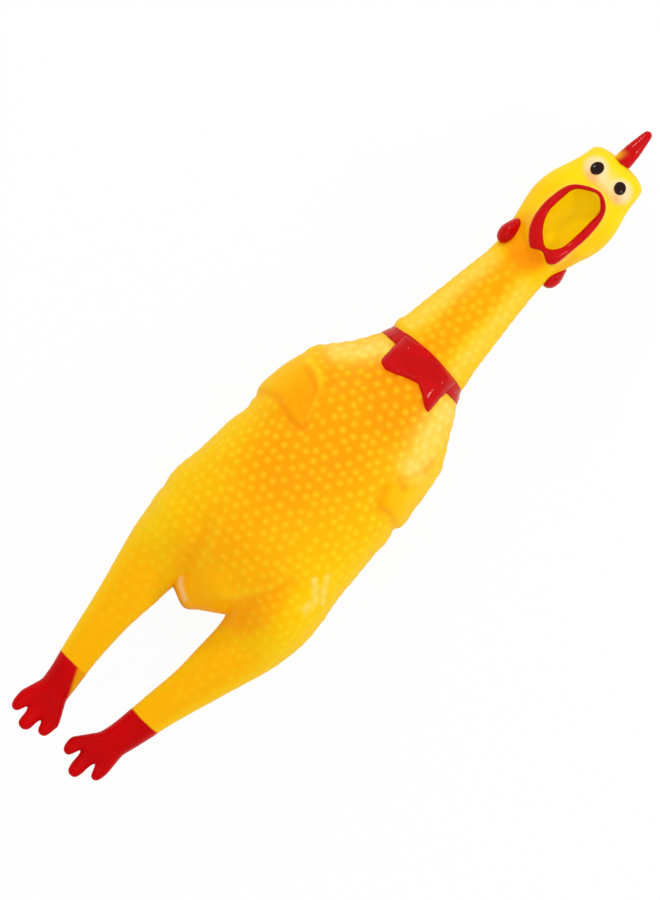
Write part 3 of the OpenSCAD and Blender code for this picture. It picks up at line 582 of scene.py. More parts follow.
def bump_form(skin, place, facing, wing, crease):
    """How much of a goose bump stands on each vertex."""
    x, h, _ = place.T
    strength = along(h, BUMP_STRENGTH)
    # the bumps fade on the wings, the lower belly, in creases, under the collar and on the flanks
    strength *= 1 - 0.8 * wing * (1 - smooth_step(163, 171, h))
    strength *= 1 - 0.75 * bell(x - 2, 12, 4) * bell(h - 82, 11, 4) * belly_side(facing)
    strength *= 1 - 0.7 * crease
    strength *= 1 - 0.9 * (np.abs(h - 196.2) < 3.2)
    strength *= 1 - 0.4 * smooth_step(0.7, 1, np.abs(facing[:, 0]))
    tree = BVHTree.FromObject(skin, bpy.context.evaluated_depsgraph_get())
    middles = bump_places(tree, sizes().bump_gap * 1000)
    foot = sizes().bump_width / 2
    spots = to_metres(place)
    bump = np.zeros(len(x))
    for i in np.flatnonzero(strength > 0.02):
        away = middles.find(spots[i])[2] / foot
        if away < 1:
            bump[i] = (1 - away * away) ** 2
    return bump * strength * (1 + 0.25 * rolling(place, 9, 3))


def mark_spray_shade_and_highlights(mesh, place, facing):
    """The airbrush's orange, in part painted shade where the skin faces up: sprays on the body and a stripe
    down the front of each leg; and pale streaks, which are painted highlights.
    """
    x, h, _ = place.T
    # orange where the skin faces up: airbrush, and in part painted shade
    orange = sprayed(x, h, ORANGE_SPRAYS_AND_SHADE) * smooth_step(-0.1, 0.35, facing[:, 2]) * smooth_step(68, 84, h)
    for side in (-1, 1):
        away = np.abs(x - leg_middle(side, h)) / along(h, LEG_STRIPE_AND_SHADE)
        stripe = 0.5 * (1 - smooth_step(0.3, 1.1, away)) * (1 - smooth_step(70, 92, h))
        orange = np.maximum(orange, stripe * smooth_step(-0.1, 0.4, facing[:, 2]))
    # painted highlights: pale streaks on the shoulders, the right thigh and the sides of the neck
    bare = np.zeros(len(x))
    for points, width, share in PAINTED_HIGHLIGHTS:
        bare = np.maximum(bare, share * stroke(x, h, points, width))
    bare *= belly_side(facing) * (1 + 0.35 * rolling(place, 5, 21))
    orange *= 1 - 0.8 * np.clip(bare, 0, 1)
    mark(mesh, "orange", np.clip(orange, 0, 1))
    mark(mesh, "bare", np.clip(bare, 0, 1))


def mark_feet(mesh, place):
    """Red paint on the feet, with a slip of bare skin left on the inner side of the left ankle."""
    x, h, z = place.T
    edge = np.where(x < 0, LEFT_PAINT_EDGE, RIGHT_PAINT_EDGE) + 0.25 * rolling(place, 5, 9)
    slip = smooth_step(-0.6, 1, x + 13.6 - 0.48 * (31.1 - h)) * (x < 0) * (z > AXIS_Z - 5)
    mark(mesh, "painted", smooth_step(-0.25, 0.25, edge - h) * (1 - 0.7 * slip))


def mark_face(mesh, place, facing):
    """Cream round the eyes and on the bridge between them, a blush below, the crown and the mouth."""
    x, h, z = place.T
    seen = smooth_step(0.1, 0.4, facing[:, 2])
    cream = 0.75 * bell(x - 2.2, 4) * bell(h - 288, 3.6)
    cream += np.max([1 - smooth_step(0.55, 1.15, np.hypot((x - middle) / 5, (h - EYE_HEIGHT) / 4.9))
                     for middle in EYE_CREAMS], axis=0)
    blush = 0.6 * bell(x - 2.6, 6) * bell(h - 285.2, 1.6)
    for middle, height in EYE_BLUSHES:
        blush = np.maximum(blush, bell(x - middle, 3.2) * bell(h - height, 1.8))
    mark(mesh, "cream", np.clip(cream, 0, 1) * seen)
    mark(mesh, "blush", blush * seen)
    mark(mesh, "crown", smooth_step(268, 284, h))
    mark(mesh, "mouth", smooth_step(0.3, 0.8, inside_mouth(x, h, z)))


def make_skin():
    """The whole skin in its final form, marked for its material."""
    skin = skin_form()
    mesh = skin.data
    place, facing = places(mesh), directions(mesh)
    x, h, z = place.T
    wing_lift, wing = wing_form(place, facing)
    fold_lift, crease, ridge = fold_form(place, facing)
    bump = bump_form(skin, place, facing, wing, crease)
    lift = wing_lift + fold_lift + body_form(place, facing) + sizes().bump_rise * 1000 * bump
    # slow unevenness of a rotation moulding
    lift += 0.12 * rolling(place, 22, 5) * smooth_step(40, 80, h) * (h < HEAD)
    moved = place + facing * lift[:, None]
    # the beak is a shallow dish
    below = np.maximum(0, along(h, LIP_FOOT) - moved[:, 2])
    moved[:, 2] += 0.5 * below * inside_mouth(x, h, z)
    moved = spread_toes(shortened_toes(beak_leaning(moved)))
    # the skin ends higher on the right of the tail
    moved[:, 1] += 4.2 * bell(x - 10, 4.6) * bell(h - 79.5, 5)
    moved[:, 2] = np.maximum(moved[:, 2], 0)
    move_to(mesh, moved)
    # the creases, which the material paints darker as shade
    mark(mesh, "crease", np.clip(crease, 0, 1))
    # bump tops and fold ridges, which the material paints lighter as highlights
    mark(mesh, "bump", np.clip(0.8 * bump + 0.9 * ridge, 0, 1))
    mark_spray_shade_and_highlights(mesh, place, facing)
    mark_feet(mesh, place)
    mark_face(mesh, place, facing)
    return skin


def inside_mouth(x, h, z):
    """Above zero for the part of the skin that lines the open beak."""
    away = np.hypot((x - 1.3) / 7.6, (h - 267.4) / 14.2)
    return smooth_step(1.05, 0.9, away) * (z > AXIS_Z)


# ---- Cutting the skin where the toy bends ----


def cut_skin(skin):
    """Cuts the skin into pieces that each follow one body, or lie between two."""
    mesh = skin.data
    place = places(mesh)
    whole = mesh.attributes.new("whole_normal", "FLOAT_VECTOR", "POINT")
    whole.data.foreach_set("vector", directions(mesh).astype(np.float32).ravel())
    faces = np.empty(len(mesh.loops), np.int32)
    mesh.loops.foreach_get("vertex_index", faces)
    faces = faces.reshape(-1, 4)
    lowest = place[faces].min(axis=1)
    highest = place[faces].max(axis=1)
    left = place[faces].mean(axis=1)[:, 0] < 0
    low, high = lowest[:, 1], highest[:, 1]
    pieces = []
    label = np.full(len(faces), -1)

    def give(where, name, first, second=None, start=None, end=None, nodes=(), slot="skin"):
        """Gives faces that have no piece yet to a new one."""
        label[where & (label < 0)] = len(pieces)
        pieces.append((name, first, second, start, end, nodes, slot))

    def bend(name, first, second, start, end, nodes, where=True):
        """A piece that lies between two bodies, from one height to another."""
        bottom, top = min(start, end), max(start, end)
        give((high > bottom) & (low < top) & where, name, first, second, (0, start, 0), (0, end, 0), nodes)

    def between(bottom, top):
        """The faces from one height to another."""
        return (low >= bottom - FACE_REACH) & (high <= top + FACE_REACH)

    bend("neck_root_skin", "torso", "neck", COLLAR, NECK_MID - FOLD_GAP, ("neck_lower_fold",))
    bend("neck_top_skin", "neck", "head", NOD, THROAT - FOLD_GAP, ("neck_upper_fold",))
    give(between(NECK_MID, NOD), "neck_skin", "neck", nodes=("neck_middle",))
    give(between(THROAT, np.inf), "head_skin", "head",
         nodes=("throat_sleeve", "head_shell", "mouth_lining", "left_eye", "right_eye"))
    for side, here in (("left", left), ("right", ~left)):
        thigh, shank, foot = (f"{side}_{part}" for part in ("thigh", "shank", "foot"))
        bend(f"{side}_hip_skin", "torso", thigh, HIP, HIP_FOLD, (f"{side}_hip_fold",), here)
        bend(f"{side}_knee_skin", thigh, shank, THIGH, KNEE, (f"{side}_knee_fold",), here)
        bend(f"{side}_ankle_skin", shank, foot, SHANK, ANKLE, (f"{side}_ankle_fold",), here)
        give(here & between(THIGH, HIP_FOLD), f"{thigh}_skin", thigh, nodes=(thigh,))
        give(here & between(SHANK, KNEE), f"{shank}_skin", shank, nodes=(shank,))
        give(here & between(-np.inf, ANKLE), f"{foot}_skin", foot, nodes=(foot,), slot="red_paint")
    give(highest[:, 2] > FOLD_Z, "belly_skin", "torso", "belly", (0, ORIGIN_UP, FOLD_Z),
         (0, ORIGIN_UP, CAP_Z), ("belly_fold_ring", "belly_panel"))
    give(lowest[:, 2] > AXIS_Z, "breast_skin", "torso", nodes=("torso_shell", "left_wing", "right_wing"))
    give(label < 0, "back_skin", "torso")

    for _ in pieces:
        mesh.materials.append(None)
    mesh.polygons.foreach_set("material_index", label.astype(np.int32))
    mesh.attributes.new("label", "INT", "FACE").data.foreach_set("value", label.astype(np.int32))
    # the material slots only say where to cut, and each piece gets the skin's material afterwards
    bpy.ops.object.select_all(action="DESELECT")
    bpy.context.view_layer.objects.active = skin
    skin.select_set(True)
    bpy.ops.object.mode_set(mode="EDIT")
    bpy.ops.mesh.separate(type="MATERIAL")
    bpy.ops.object.mode_set(mode="OBJECT")
    vinyl = skin_material()
    for obj in [o for o in bpy.context.selected_objects if o.type == "MESH"]:
        mesh = obj.data
        name, first, second, start, end, nodes, slot = pieces[mesh.attributes["label"].data[0].value]
        mesh.attributes.remove(mesh.attributes["label"])
        obj.name = mesh.name = name
        mesh.materials.clear()
        mesh.materials.append(vinyl)
        mesh.polygons.foreach_set("material_index", np.zeros(len(mesh.polygons), np.int32))
        mesh.polygons.foreach_set("use_smooth", np.ones(len(mesh.polygons), bool))
        normals = np.empty(len(mesh.vertices) * 3, np.float32)
        mesh.attributes["whole_normal"].data.foreach_get("vector", normals)
        mesh.attributes.remove(mesh.attributes["whole_normal"])
        mesh.normals_split_custom_set_from_vertices(normals.reshape(-1, 3).tolist())
        if second:
            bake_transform(obj)
        else:
            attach(obj, first)
        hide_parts(*nodes)
        obj.select_set(False)


# ---- Materials ----


def add(tree, kind, links=(), **settings):
    """Adds a node with its settings, and links or numbers for its inputs: (input, socket or value)."""
    node = tree.nodes.new(kind)
    for key, value in settings.items():
        setattr(node, key, value)
    for name, source in links:
        if isinstance(source, bpy.types.NodeSocket):
            tree.links.new(source, node.inputs[name])
        else:
            node.inputs[name].default_value = source
    return node


def material(name):
    """A new node material with no nodes yet, and its tree."""
    made = bpy.data.materials.new(name)
    made.use_nodes = True
    made.node_tree.nodes.clear()
    return made, made.node_tree


def per_metre(size_mm):
    """The scale of a noise whose pattern has this size in millimetres."""
    return 1000 / size_mm


def skin_material():
    """Soft PVC, rotation moulded and airbrushed: satin, lemon with an orange front that is in part painted
    shade, painted shade in creases, and painted highlights on the bump tops and in pale streaks.
    """
    made, tree = material("airbrushed soft vinyl")
    c = colours()
    seen = {
        name: add(tree, "ShaderNodeAttribute", attribute_name=name, attribute_type="GEOMETRY").outputs["Fac"]
        for name in ("orange", "bare", "crease", "bump", "painted", "crown", "cream", "blush", "mouth")}
    where = add(tree, "ShaderNodeTexCoord").outputs["Object"]
    # the spray's slow cloudiness, about 12 mm from cloud to cloud, and the mould's grain of about 0.4 mm
    cloud, grain = (
        add(tree, "ShaderNodeTexNoise", [("Vector", where), ("Scale", per_metre(size)), ("Detail", detail)])
        for size, detail in ((11.765, 3.0), (0.4167, 2.0)))
    # how thick the spray lies, how much more of the painted highlight the bump tops take, and how much the
    # painted shade in creases and the blush show
    shares = {}
    for name, value, by, plus in (
            ("spray", cloud.outputs["Fac"], 0.3, 0.85), ("highlight_on_bumps", seen["bump"], 0.5, 0.6),
            ("crease", seen["crease"], 0.55, 0.0), ("blush", seen["blush"], 0.6, 0.0),
            ("rough", seen["painted"], -0.14, 0.44)):
        shares[name] = add(tree, "ShaderNodeMath", [(0, value), (1, by), (2, plus)],
                           operation="MULTIPLY_ADD").outputs[0]
    # the orange follows the spray's cloudiness, and the pale painted highlight lies stronger on the bump tops
    for name, value, share in (("orange", seen["orange"], "spray"), ("bare", seen["bare"], "highlight_on_bumps")):
        shares[name] = add(tree, "ShaderNodeMath", [(0, value), (1, shares[share])],
                           operation="MULTIPLY", use_clamp=True).outputs[0]
    # the moulded skin and the spray, each with its bump tops painted lighter as highlights, and the paint of
    # the feet
    skin, front, red = (
        add(tree, "ShaderNodeMix", [(0, share), (6, under), (7, over)], data_type="RGBA").outputs[2]
        for share, under, over in ((seen["bump"], c.lemon, c.lemon_bump_highlight), (seen["bump"], c.orange, c.orange_bump_highlight),
                                   (cloud.outputs["Fac"], c.red_thick, c.red)))
    # laid over it: the crown, the front's orange with its part of painted shade, the pale painted highlights,
    # the painted shade in creases, the mouth, the cream, the blush and the feet's paint
    for share, over in (
            (seen["crown"], c.crown), (shares["orange"], front), (shares["bare"], c.pale),
            (shares["crease"], c.crease_shade), (seen["mouth"], c.mouth), (seen["cream"], c.cream),
            (shares["blush"], hex_linear("#FFA050")), (seen["painted"], red)):
        skin = add(tree, "ShaderNodeMix", [(0, share), (6, skin), (7, over)], data_type="RGBA").outputs[2]
    relief = add(tree, "ShaderNodeBump", [
        ("Height", grain.outputs["Fac"]), ("Strength", 0.1), ("Distance", 0.0002)])
    surface = add(tree, "ShaderNodeBsdfPrincipled", [
        ("Base Color", skin), ("Roughness", shares["rough"]), ("IOR", 1.52), ("Specular IOR Level", 0.05),
        ("Normal", relief.outputs["Normal"])])
    add(tree, "ShaderNodeOutputMaterial", [("Surface", surface.outputs["BSDF"])])
    return made


def paint_material():
    """Red vinyl paint brushed on soft vinyl: glossy, a little uneven, darker where it lies thick."""
    made, tree = material("glossy red vinyl paint")
    c = colours()
    where = add(tree, "ShaderNodeTexCoord").outputs["Object"]
    fade = add(tree, "ShaderNodeAttribute", attribute_name="bare", attribute_type="GEOMETRY").outputs["Fac"]
    # brush strokes about 6 mm long, and the paint's ripple of about 1.4 mm
    cloud, ripple = (
        add(tree, "ShaderNodeTexNoise", [("Vector", where), ("Scale", per_metre(size)), ("Detail", detail)])
        for size, detail in ((6.25, 3.0), (1.4286, 2.0)))
    red = c.red_thick
    for share, over in ((cloud.outputs["Fac"], c.red), (fade, hex_linear("#FFBE10"))):
        red = add(tree, "ShaderNodeMix", [(0, share), (6, red), (7, over)], data_type="RGBA").outputs[2]
    relief = add(tree, "ShaderNodeBump", [
        ("Height", ripple.outputs["Fac"]), ("Strength", 0.1), ("Distance", 0.0001)])
    surface = add(tree, "ShaderNodeBsdfPrincipled", [
        ("Base Color", red), ("Roughness", 0.13), ("IOR", 1.5), ("Specular IOR Level", 0.13),
        ("Normal", relief.outputs["Normal"])])
    add(tree, "ShaderNodeOutputMaterial", [("Surface", surface.outputs["BSDF"])])
    return made


def pupil_material():
    """Brown-black enamel dot: hard gloss with one small glint."""
    made, tree = material("gloss brown-black enamel")
    where = add(tree, "ShaderNodeTexCoord").outputs["Object"]
    # specks of about 2.5 mm, half a pupil wide
    cloud = add(tree, "ShaderNodeTexNoise", [("Vector", where), ("Scale", per_metre(2.5))]).outputs["Fac"]
    dark = add(tree, "ShaderNodeMix", [(0, cloud), (6, hex_linear("#180404")), (7, colours().pupil)],
               data_type="RGBA").outputs[2]
    surface = add(tree, "ShaderNodeBsdfPrincipled", [
        ("Base Color", dark), ("Roughness", 0.14), ("IOR", 1.5), ("Specular IOR Level", 0.16)])
    add(tree, "ShaderNodeOutputMaterial", [("Surface", surface.outputs["BSDF"])])
    return made


def tail_material():
    """The thinnest vinyl, hardly sprayed: the belly's colour, a pale rim that is a painted highlight, and a
    darker lower edge.
    """
    made, tree = material("thin pale vinyl")
    where = add(tree, "ShaderNodeTexCoord").outputs["Object"]
    # slow cloudiness of about 7 mm
    cloud = add(tree, "ShaderNodeTexNoise", [
        ("Vector", where), ("Scale", per_metre(7.143)), ("Detail", 2.0)]).outputs["Fac"]
    rim, low = (
        add(tree, "ShaderNodeAttribute", attribute_name=name, attribute_type="GEOMETRY").outputs["Fac"]
        for name in ("rim", "low"))
    # the pale rim's colour is a painted highlight
    base = hex_linear("#FFAA00")
    for share, code in ((cloud, "#FFB800"), (rim, "#FFD28C"), (low, "#DC8810")):
        base = add(tree, "ShaderNodeMix", [(0, share), (6, base), (7, hex_linear(code))],
                   data_type="RGBA").outputs[2]
    surface = add(tree, "ShaderNodeBsdfPrincipled", [
        ("Base Color", base), ("Roughness", 0.42), ("IOR", 1.52), ("Specular IOR Level", 0.05)])
    add(tree, "ShaderNodeOutputMaterial", [("Surface", surface.outputs["BSDF"])])
    return made


def plastic_material(name, code, roughness):
    """Plain plastic of the squeaker, hidden in the throat: even and satin, or glossier as a film."""
    made, tree = material(name)
    where = add(tree, "ShaderNodeTexCoord").outputs["Object"]
    # the mould's orange peel, about 1.1 mm
    peel = add(tree, "ShaderNodeTexNoise", [("Vector", where), ("Scale", per_metre(1.111))])
    relief = add(tree, "ShaderNodeBump", [
        ("Height", peel.outputs["Fac"]), ("Strength", 0.1), ("Distance", 0.0001)])
    surface = add(tree, "ShaderNodeBsdfPrincipled", [
        ("Base Color", hex_linear(code)), ("Roughness", roughness), ("IOR", 1.5),
        ("Normal", relief.outputs["Normal"])])
    add(tree, "ShaderNodeOutputMaterial", [("Surface", surface.outputs["BSDF"])])
    return made


# ---- Operators ----

# Name, watts, width and height in metres, and place of each lamp
LAMPS = (
    ("over_head", 0.7, 0.4, 0.4, (0.05, 0.05, 0.95)),
    ("left_of_neck", 0.8, 0.09, 0.08, (-0.45, 0.5, 0.45)),
    ("right_of_neck", 0.8, 0.09, 0.08, (0.5, 0.45, 0.45)),
)
LIT_SPOT = (0, 0.05, 0.03)
# How far in metres the floor lies under the back, so that the two don't share a face
FLOOR_DROP = 0.0006
# The view: its taller side and its middle in metres, and how far in degrees the toy lies turned in it
VIEW_TALL, VIEW_MIDDLE, VIEW_TURN = 0.324, (-0.0024, 0.0142), 43.85
LENS, SENSOR = 200, 36


class MakeStage(bpy.types.Operator):
    """A pale floor, soft lamps and the camera straight above the belly"""

    bl_idname = "chicken.make_stage"
    bl_label = "Stage"

    def execute(self, context):
        scene = context.scene
        scene.view_settings.view_transform = "Standard"
        bm = bmesh.new()
        bmesh.ops.create_grid(bm, x_segments=2, y_segments=2, size=3.0)
        floor = new_object("floor", bm)
        floor.data.transform(Matrix.Translation((0, 0, -FLOOR_DROP)))
        made, tree = material("white paper floor")
        paper = add(tree, "ShaderNodeBsdfDiffuse", [("Color", hex_linear("#F4F4F4"))])
        glow = add(tree, "ShaderNodeEmission", [("Color", (1, 1, 1, 1)), ("Strength", 1.0)])
        # the camera sees a nearly white floor that keeps a trace of the toy's shadow
        rays = add(tree, "ShaderNodeLightPath")
        direct = add(tree, "ShaderNodeMath", [(0, rays.outputs["Is Camera Ray"]), (1, 0.95)],
                     operation="MULTIPLY")
        mixed = add(tree, "ShaderNodeMixShader", [
            (0, direct.outputs[0]), (1, paper.outputs[0]), (2, glow.outputs[0])])
        add(tree, "ShaderNodeOutputMaterial", [("Surface", mixed.outputs[0])])
        floor.data.materials.append(made)

        world = bpy.data.worlds.new("studio")
        world.use_nodes = True
        sky = world.node_tree.nodes["Background"]
        sky.inputs["Color"].default_value = (1, 1, 1, 1)
        sky.inputs["Strength"].default_value = 0.82
        scene.world = world

        for name, power, wide, tall, spot in LAMPS:
            light = bpy.data.lights.new(name, "AREA")
            light.shape = "RECTANGLE"
            light.size, light.size_y = wide, tall
            light.energy = power
            lamp = bpy.data.objects.new(name, light)
            lamp.location = spot
            lamp.rotation_euler = (Vector(LIT_SPOT) - Vector(spot)).to_track_quat("-Z", "Y").to_euler()
            scene.collection.objects.link(lamp)

        camera = bpy.data.objects.new("camera", bpy.data.cameras.new("camera"))
        camera.data.lens = LENS
        camera.data.sensor_width = SENSOR
        camera.location = (*VIEW_MIDDLE, AXIS_Z / 1000 + VIEW_TALL * LENS / SENSOR)
        camera.rotation_euler = (0, 0, math.radians(VIEW_TURN))
        camera.data.clip_end = 20
        scene.collection.objects.link(camera)
        scene.camera = camera
        return {"FINISHED"}


class MakeSkin(bpy.types.Operator):
    """The moulded skin from head to toes, with wings, goose bumps and airbrush"""

    bl_idname = "chicken.make_skin"
    bl_label = "Skin"

    def execute(self, context):
        cut_skin(make_skin())
        return {"FINISHED"}


def dressed(obj, body, slot, material_of, *nodes):
    """Gives a finished piece its material and body, and hides the solids that it stands for."""
    obj.data.polygons.foreach_set("use_smooth", np.ones(len(obj.data.polygons), bool))
    obj.data.materials.append(material_of)
    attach(obj, body)
    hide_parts(*nodes)
    return obj


def softened_copy(name, node, rounds):
    """An even, softened skin over a solid of the frame."""
    return soften(regrid(merged_mesh(name, node), sizes().painted_grid), rounds)


def surface_of(*nodes):
    """A tree of some solids, to find the height of their front."""
    bm = bmesh.new()
    for node in nodes:
        bm.from_mesh(NODES[node].data)
    tree = BVHTree.FromBMesh(bm)
    bm.free()
    return tree


def front_of(tree, x, h):
    """The front of some solids at a place, and the way it faces, in millimetres."""
    above = to_metres((x, h, 200))
    spot, facing, _, _ = tree.ray_cast(above, (0, 0, -1))
    return spot.z * 1000, facing


def moulded(obj, reshape):
    """Moves the vertices of a piece by a function of their places."""
    move_to(obj.data, reshape(places(obj.data)))
    return obj


class MakeHeadTrim(bpy.types.Operator):
    """Comb, wattles and lip in glossy red"""

    bl_idname = "chicken.make_head_trim"
    bl_label = "Comb, wattles and lip"

    def execute(self, context):
        red = paint_material()
        comb = softened_copy("comb_red", "comb", 30)

        def taller(place):
            """The comb's tips stand a little higher than those of its solid, and to the right."""
            place[:, 1] += 1.0 * smooth_step(297, 310, place[:, 1])
            place[:, 0] += 0.3
            return place

        moulded(comb, taller)
        x, h, _ = places(comb.data).T
        # the paint thins out at the foot of the comb, on its left
        thin = smooth_step(302.5, 298, h) * smooth_step(1.4, -1.8, x - (h - 298) * 0.3)
        mark(comb.data, "bare", 0.85 * thin)
        dressed(comb, "head", "red_paint", red, "comb")
        for side, across in (("left", 0.7), ("right", -0.4)):
            wattle = softened_copy(f"{side}_wattle_red", f"{side}_wattle", 8)
            moulded(wattle, lambda place: place + [across, 1.3, 0])
            dressed(wattle, "head", "red_paint", red, f"{side}_wattle")
        lip = moulded(softened_copy("lip_red", "beak_lip", 6), beak_leaning)
        dressed(lip, "head", "red_paint", red, "beak_lip")
        return {"FINISHED"}


# The bow tie's lower edge, from its left end to its right: across, and height
BOW_LOWER = ((-12.1, 186.3), (-10.4, 185.2), (-7.9, 184.7), (-4, 186), (0, 188), (3.8, 189.2), (7.4, 187.4),
             (10.8, 185), (14, 183.9))
# Its highest point: across, and height, and how fast the upper edge falls to both sides
BOW_TOP, BOW_FALL = (0.8, 200.6), 0.006
# Two heights between which the breast under the bow is taken as straight
BOW_BASE = (187, 197.5)
# How far in mm the bow stands proud past its rounded edge, how wide that edge is, and how deep its back sits
BOW_RISE, BOW_EDGE, BOW_SUNK = 2.6, 2.2, 2.2


def drawn_in(place):
    """The collar lies closer to the neck than its solid, and arches up under the bow."""
    place[:, 0] = 0.3 + (place[:, 0] - 0.3) * 0.94
    place[:, 1] += 0.5 + 1.1 * smooth_step(197.5, 194, place[:, 1])
    place[:, 1] += 1.2 * bell(place[:, 0], 12) * (place[:, 2] > AXIS_Z)
    return place


def bow_tie():
    """A broad bow that lies on the breast, with a fold in each loop and a flat knot between."""
    bm = bmesh.new()
    bmesh.ops.create_grid(bm, x_segments=44, y_segments=28, size=1.0)
    sheet = bmesh.ops.extrude_face_region(bm, geom=bm.faces[:], use_keep_orig=True)["geom"]
    outer = {v for v in sheet if isinstance(v, bmesh.types.BMVert)}
    left, right = BOW_LOWER[0][0], BOW_LOWER[-1][0]
    # the breast's own curve across, without the small unevenness of its solid
    breast = surface_of("torso_shell")
    across = np.linspace(left, right, 9)
    curves = [np.polyfit(across, [front_of(breast, x, h)[0] for x in across], 4) for h in BOW_BASE]
    for v in bm.verts:
        x = left + (v.co.x + 1) / 2 * (right - left)
        low = float(along(x, BOW_LOWER))
        high = BOW_TOP[1] - BOW_FALL * (x - BOW_TOP[0]) ** 2
        h = low + (v.co.y + 1) / 2 * (high - low)
        edge = min(x - left, right - x, h - low, (high - h) * 1.4)
        roundness = math.sqrt(max(0, 1 - (1 - min(edge / BOW_EDGE, 1)) ** 2))
        # two full loops, and a broad knot hardly raised between them
        side = abs(x - 1.4)
        fold = 0.6 * bell(side - 8, 3) - 0.3 * bell(side - 3.2, 1.6)
        fold += 0.9 * bell(side - 9.4, 1.9) * bell(h - 195.6, 2.6)
        low_z, high_z = (np.polyval(curve, x) for curve in curves)
        base = low_z + (high_z - low_z) * (h - BOW_BASE[0]) / (BOW_BASE[1] - BOW_BASE[0])
        rise = -0.5 + (BOW_RISE + fold) * roundness if v in outer else -BOW_SUNK
        v.co = to_metres((x, h, base + rise))
    bmesh.ops.recalc_face_normals(bm, faces=bm.faces)
    return refine(soften(new_object("bow_red", bm), 4))


class MakeCollar(bpy.types.Operator):
    """The red band round the root of the neck, and the bow tie on it"""

    bl_idname = "chicken.make_collar"
    bl_label = "Collar and bow tie"

    def execute(self, context):
        red = paint_material()
        band = moulded(softened_copy("collar_red", "collar_band", 6), drawn_in)
        dressed(band, "torso", "red_paint", red, "collar_band")
        dressed(bow_tie(), "torso", "red_paint", red, "bow_tie")
        return {"FINISHED"}


# The pupils: side, across, height, and how much taller than wide each is
PUPILS = (("left", -3.3, 289.5, 1.2), ("right", 7.6, 289.9, 1.08))
# Half the thickness of a pupil, and how deep its middle sits in the skin
PUPIL_HALF, PUPIL_SUNK = 0.7, 0.1


class MakeEyes(bpy.types.Operator):
    """Glossy pupils on the sprayed eyes"""

    bl_idname = "chicken.make_eyes"
    bl_label = "Pupils"

    def execute(self, context):
        dark = pupil_material()
        tree = BVHTree.FromObject(bpy.data.objects["head_skin"], context.evaluated_depsgraph_get())
        wide = sizes().pupil_width / 2
        for side, across, height, share in PUPILS:
            z, facing = front_of(tree, across, height)
            bm = bmesh.new()
            bmesh.ops.create_uvsphere(bm, u_segments=32, v_segments=20, radius=1.0)
            sideways = Vector((0, 1, 0)).cross(facing).normalized()
            turn = Matrix((sideways, facing.cross(sideways), facing)).transposed().to_4x4()
            put = Matrix.Translation(to_metres((across, height, z - PUPIL_SUNK)))
            size = Matrix.Diagonal((wide, wide * share, PUPIL_HALF / 1000, 1))
            bmesh.ops.transform(bm, verts=bm.verts, matrix=put @ turn @ size)
            dressed(new_object(f"{side}_pupil_dot", bm), "head", "pupil_paint", dark, f"{side}_pupil")
        return {"FINISHED"}


# The tail's lower edge: across, and height
TAIL_EDGE = ((-11.5, 77), (-9.2, 76), (-7.4, 75.4), (-4.5, 74.1), (-2.9, 73.5), (-1.5, 73.3), (-0.3, 73.5),
             (0.9, 74.3), (3, 76.3), (7, 79), (12.4, 82.7), (14, 83.5))
# Its middle, across and in height, half its width, half its height, and how deep it goes in under the belly
TAIL_X, TAIL_H, TAIL_WIDE, TAIL_RISE, TAIL_DEEP = 1.4, 88, 12.6, 15.0, 11.0
# Strokes of the pale rim, a painted highlight, and of the darker lower edge: points, width and share
TAIL_HIGHLIGHTS = ((((-9.6, 81), (-7.3, 78.4), (-3, 76.2)), 0.95, 0.9),
             (((1.5, 75.2), (6.4, 78.6), (11.6, 82)), 0.9, 0.6))
TAIL_LOW = (((-9, 76.6), (-4.6, 74.2), (-1.5, 73.4), (0.8, 74.2)), 0.8, 0.8)


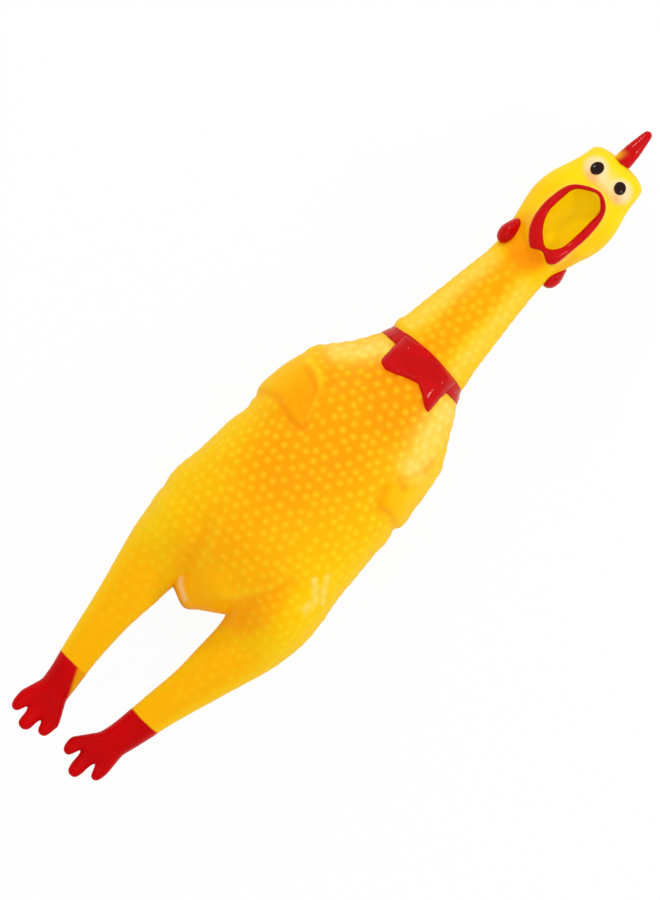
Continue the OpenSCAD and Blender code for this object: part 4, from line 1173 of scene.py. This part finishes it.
class MakeTail(bpy.types.Operator):
    """The pale tail that carries the belly on between the legs"""

    bl_idname = "chicken.make_tail"
    bl_label = "Tail"

    def execute(self, context):
        # the height and the slope of the belly where the tail comes out of it
        tree = BVHTree.FromObject(bpy.data.objects["breast_skin"], context.evaluated_depsgraph_get())
        step = 3
        high, low = (front_of(tree, 1, TAIL_H + way)[0] for way in (step, -step))
        top, slope = (high + low) / 2, (high - low) / (2 * step)
        bm = bmesh.new()
        bmesh.ops.create_uvsphere(bm, u_segments=64, v_segments=40, radius=0.001)
        bmesh.ops.scale(bm, verts=bm.verts, vec=(TAIL_WIDE, TAIL_RISE, TAIL_DEEP))
        bmesh.ops.translate(bm, verts=bm.verts, vec=to_metres((TAIL_X, TAIL_H, top - TAIL_DEEP)))

        def hanging(place):
            """Draws the lower half down to the tail's uneven lower edge."""
            x, h, _ = place.T.copy()
            widest = TAIL_RISE * np.sqrt(np.maximum(1 - ((x - TAIL_X) / TAIL_WIDE) ** 2, 1e-6))
            share = ((h - TAIL_H) / widest).clip(-1, 1)
            place[:, 1] = np.where(h < TAIL_H, TAIL_H + share * (TAIL_H - along(x, TAIL_EDGE)), h)
            place[:, 2] += slope * (place[:, 1] - TAIL_H) - 0.9
            return place

        tail = moulded(refine(new_object("tail_pale", bm)), hanging)
        x, h, _ = places(tail.data).T
        # the pale rim, a painted highlight, on the parts that face up
        rim = np.max([share * stroke(x, h, points, width) for points, width, share in TAIL_HIGHLIGHTS], axis=0)
        mark(tail.data, "rim", rim * smooth_step(0.15, 0.65, directions(tail.data)[:, 2]))
        points, width, share = TAIL_LOW
        mark(tail.data, "low", share * stroke(x, h, points, width))
        dressed(tail, "torso", "tail_skin", tail_material(), "tail_cone")
        return {"FINISHED"}


class DressSqueaker(bpy.types.Operator):
    """Finishes for the squeaker in the throat, whose solids are shown as they are"""

    bl_idname = "chicken.dress_squeaker"
    bl_label = "Squeaker"

    def execute(self, context):
        white = plastic_material("moulded white polyethylene", "#F2F2EC", 0.35)
        film = plastic_material("thin polyester film", "#F6F8FA", 0.15)
        for node in ("squeaker_cup", "squeaker_cap", "reed_holder", "reed"):
            materials = NODES[node].data.materials
            materials.clear()
            materials.append(film if node == "reed" else white)
        return {"FINISHED"}


class ChickenPanel(bpy.types.Panel):
    """Sizes, colours and the steps that build the toy"""

    bl_idname = "VIEW3D_PT_rubber_chicken"
    bl_label = "Rubber chicken"
    bl_space_type = "VIEW_3D"
    bl_region_type = "UI"
    bl_category = "Rubber chicken"

    def draw(self, context):
        for group in (context.scene.chicken_sizes, context.scene.chicken_colours):
            box = self.layout.box()
            for name in group.__annotations__:
                box.prop(group, name)
        for step in STEPS:
            self.layout.operator(step.bl_idname)


STEPS = (MakeStage, MakeSkin, MakeHeadTrim, MakeCollar, MakeEyes, MakeTail, DressSqueaker)
CLASSES = (ChickenSizes, ChickenColours, *STEPS, ChickenPanel)


def register():
    """Makes the properties, the operators and the panel known to Blender."""
    for cls in CLASSES:
        bpy.utils.register_class(cls)
    bpy.types.Scene.chicken_sizes = PointerProperty(type=ChickenSizes)
    bpy.types.Scene.chicken_colours = PointerProperty(type=ChickenColours)


def unregister():
    """Takes them away again."""
    del bpy.types.Scene.chicken_colours
    del bpy.types.Scene.chicken_sizes
    for cls in reversed(CLASSES):
        bpy.utils.unregister_class(cls)


def main():
    """Builds the toy step by step."""
    register()
    for step in STEPS:
        group, name = step.bl_idname.split(".")
        getattr(getattr(bpy.ops, group), name)()


if __name__ == "__main__":
    main()
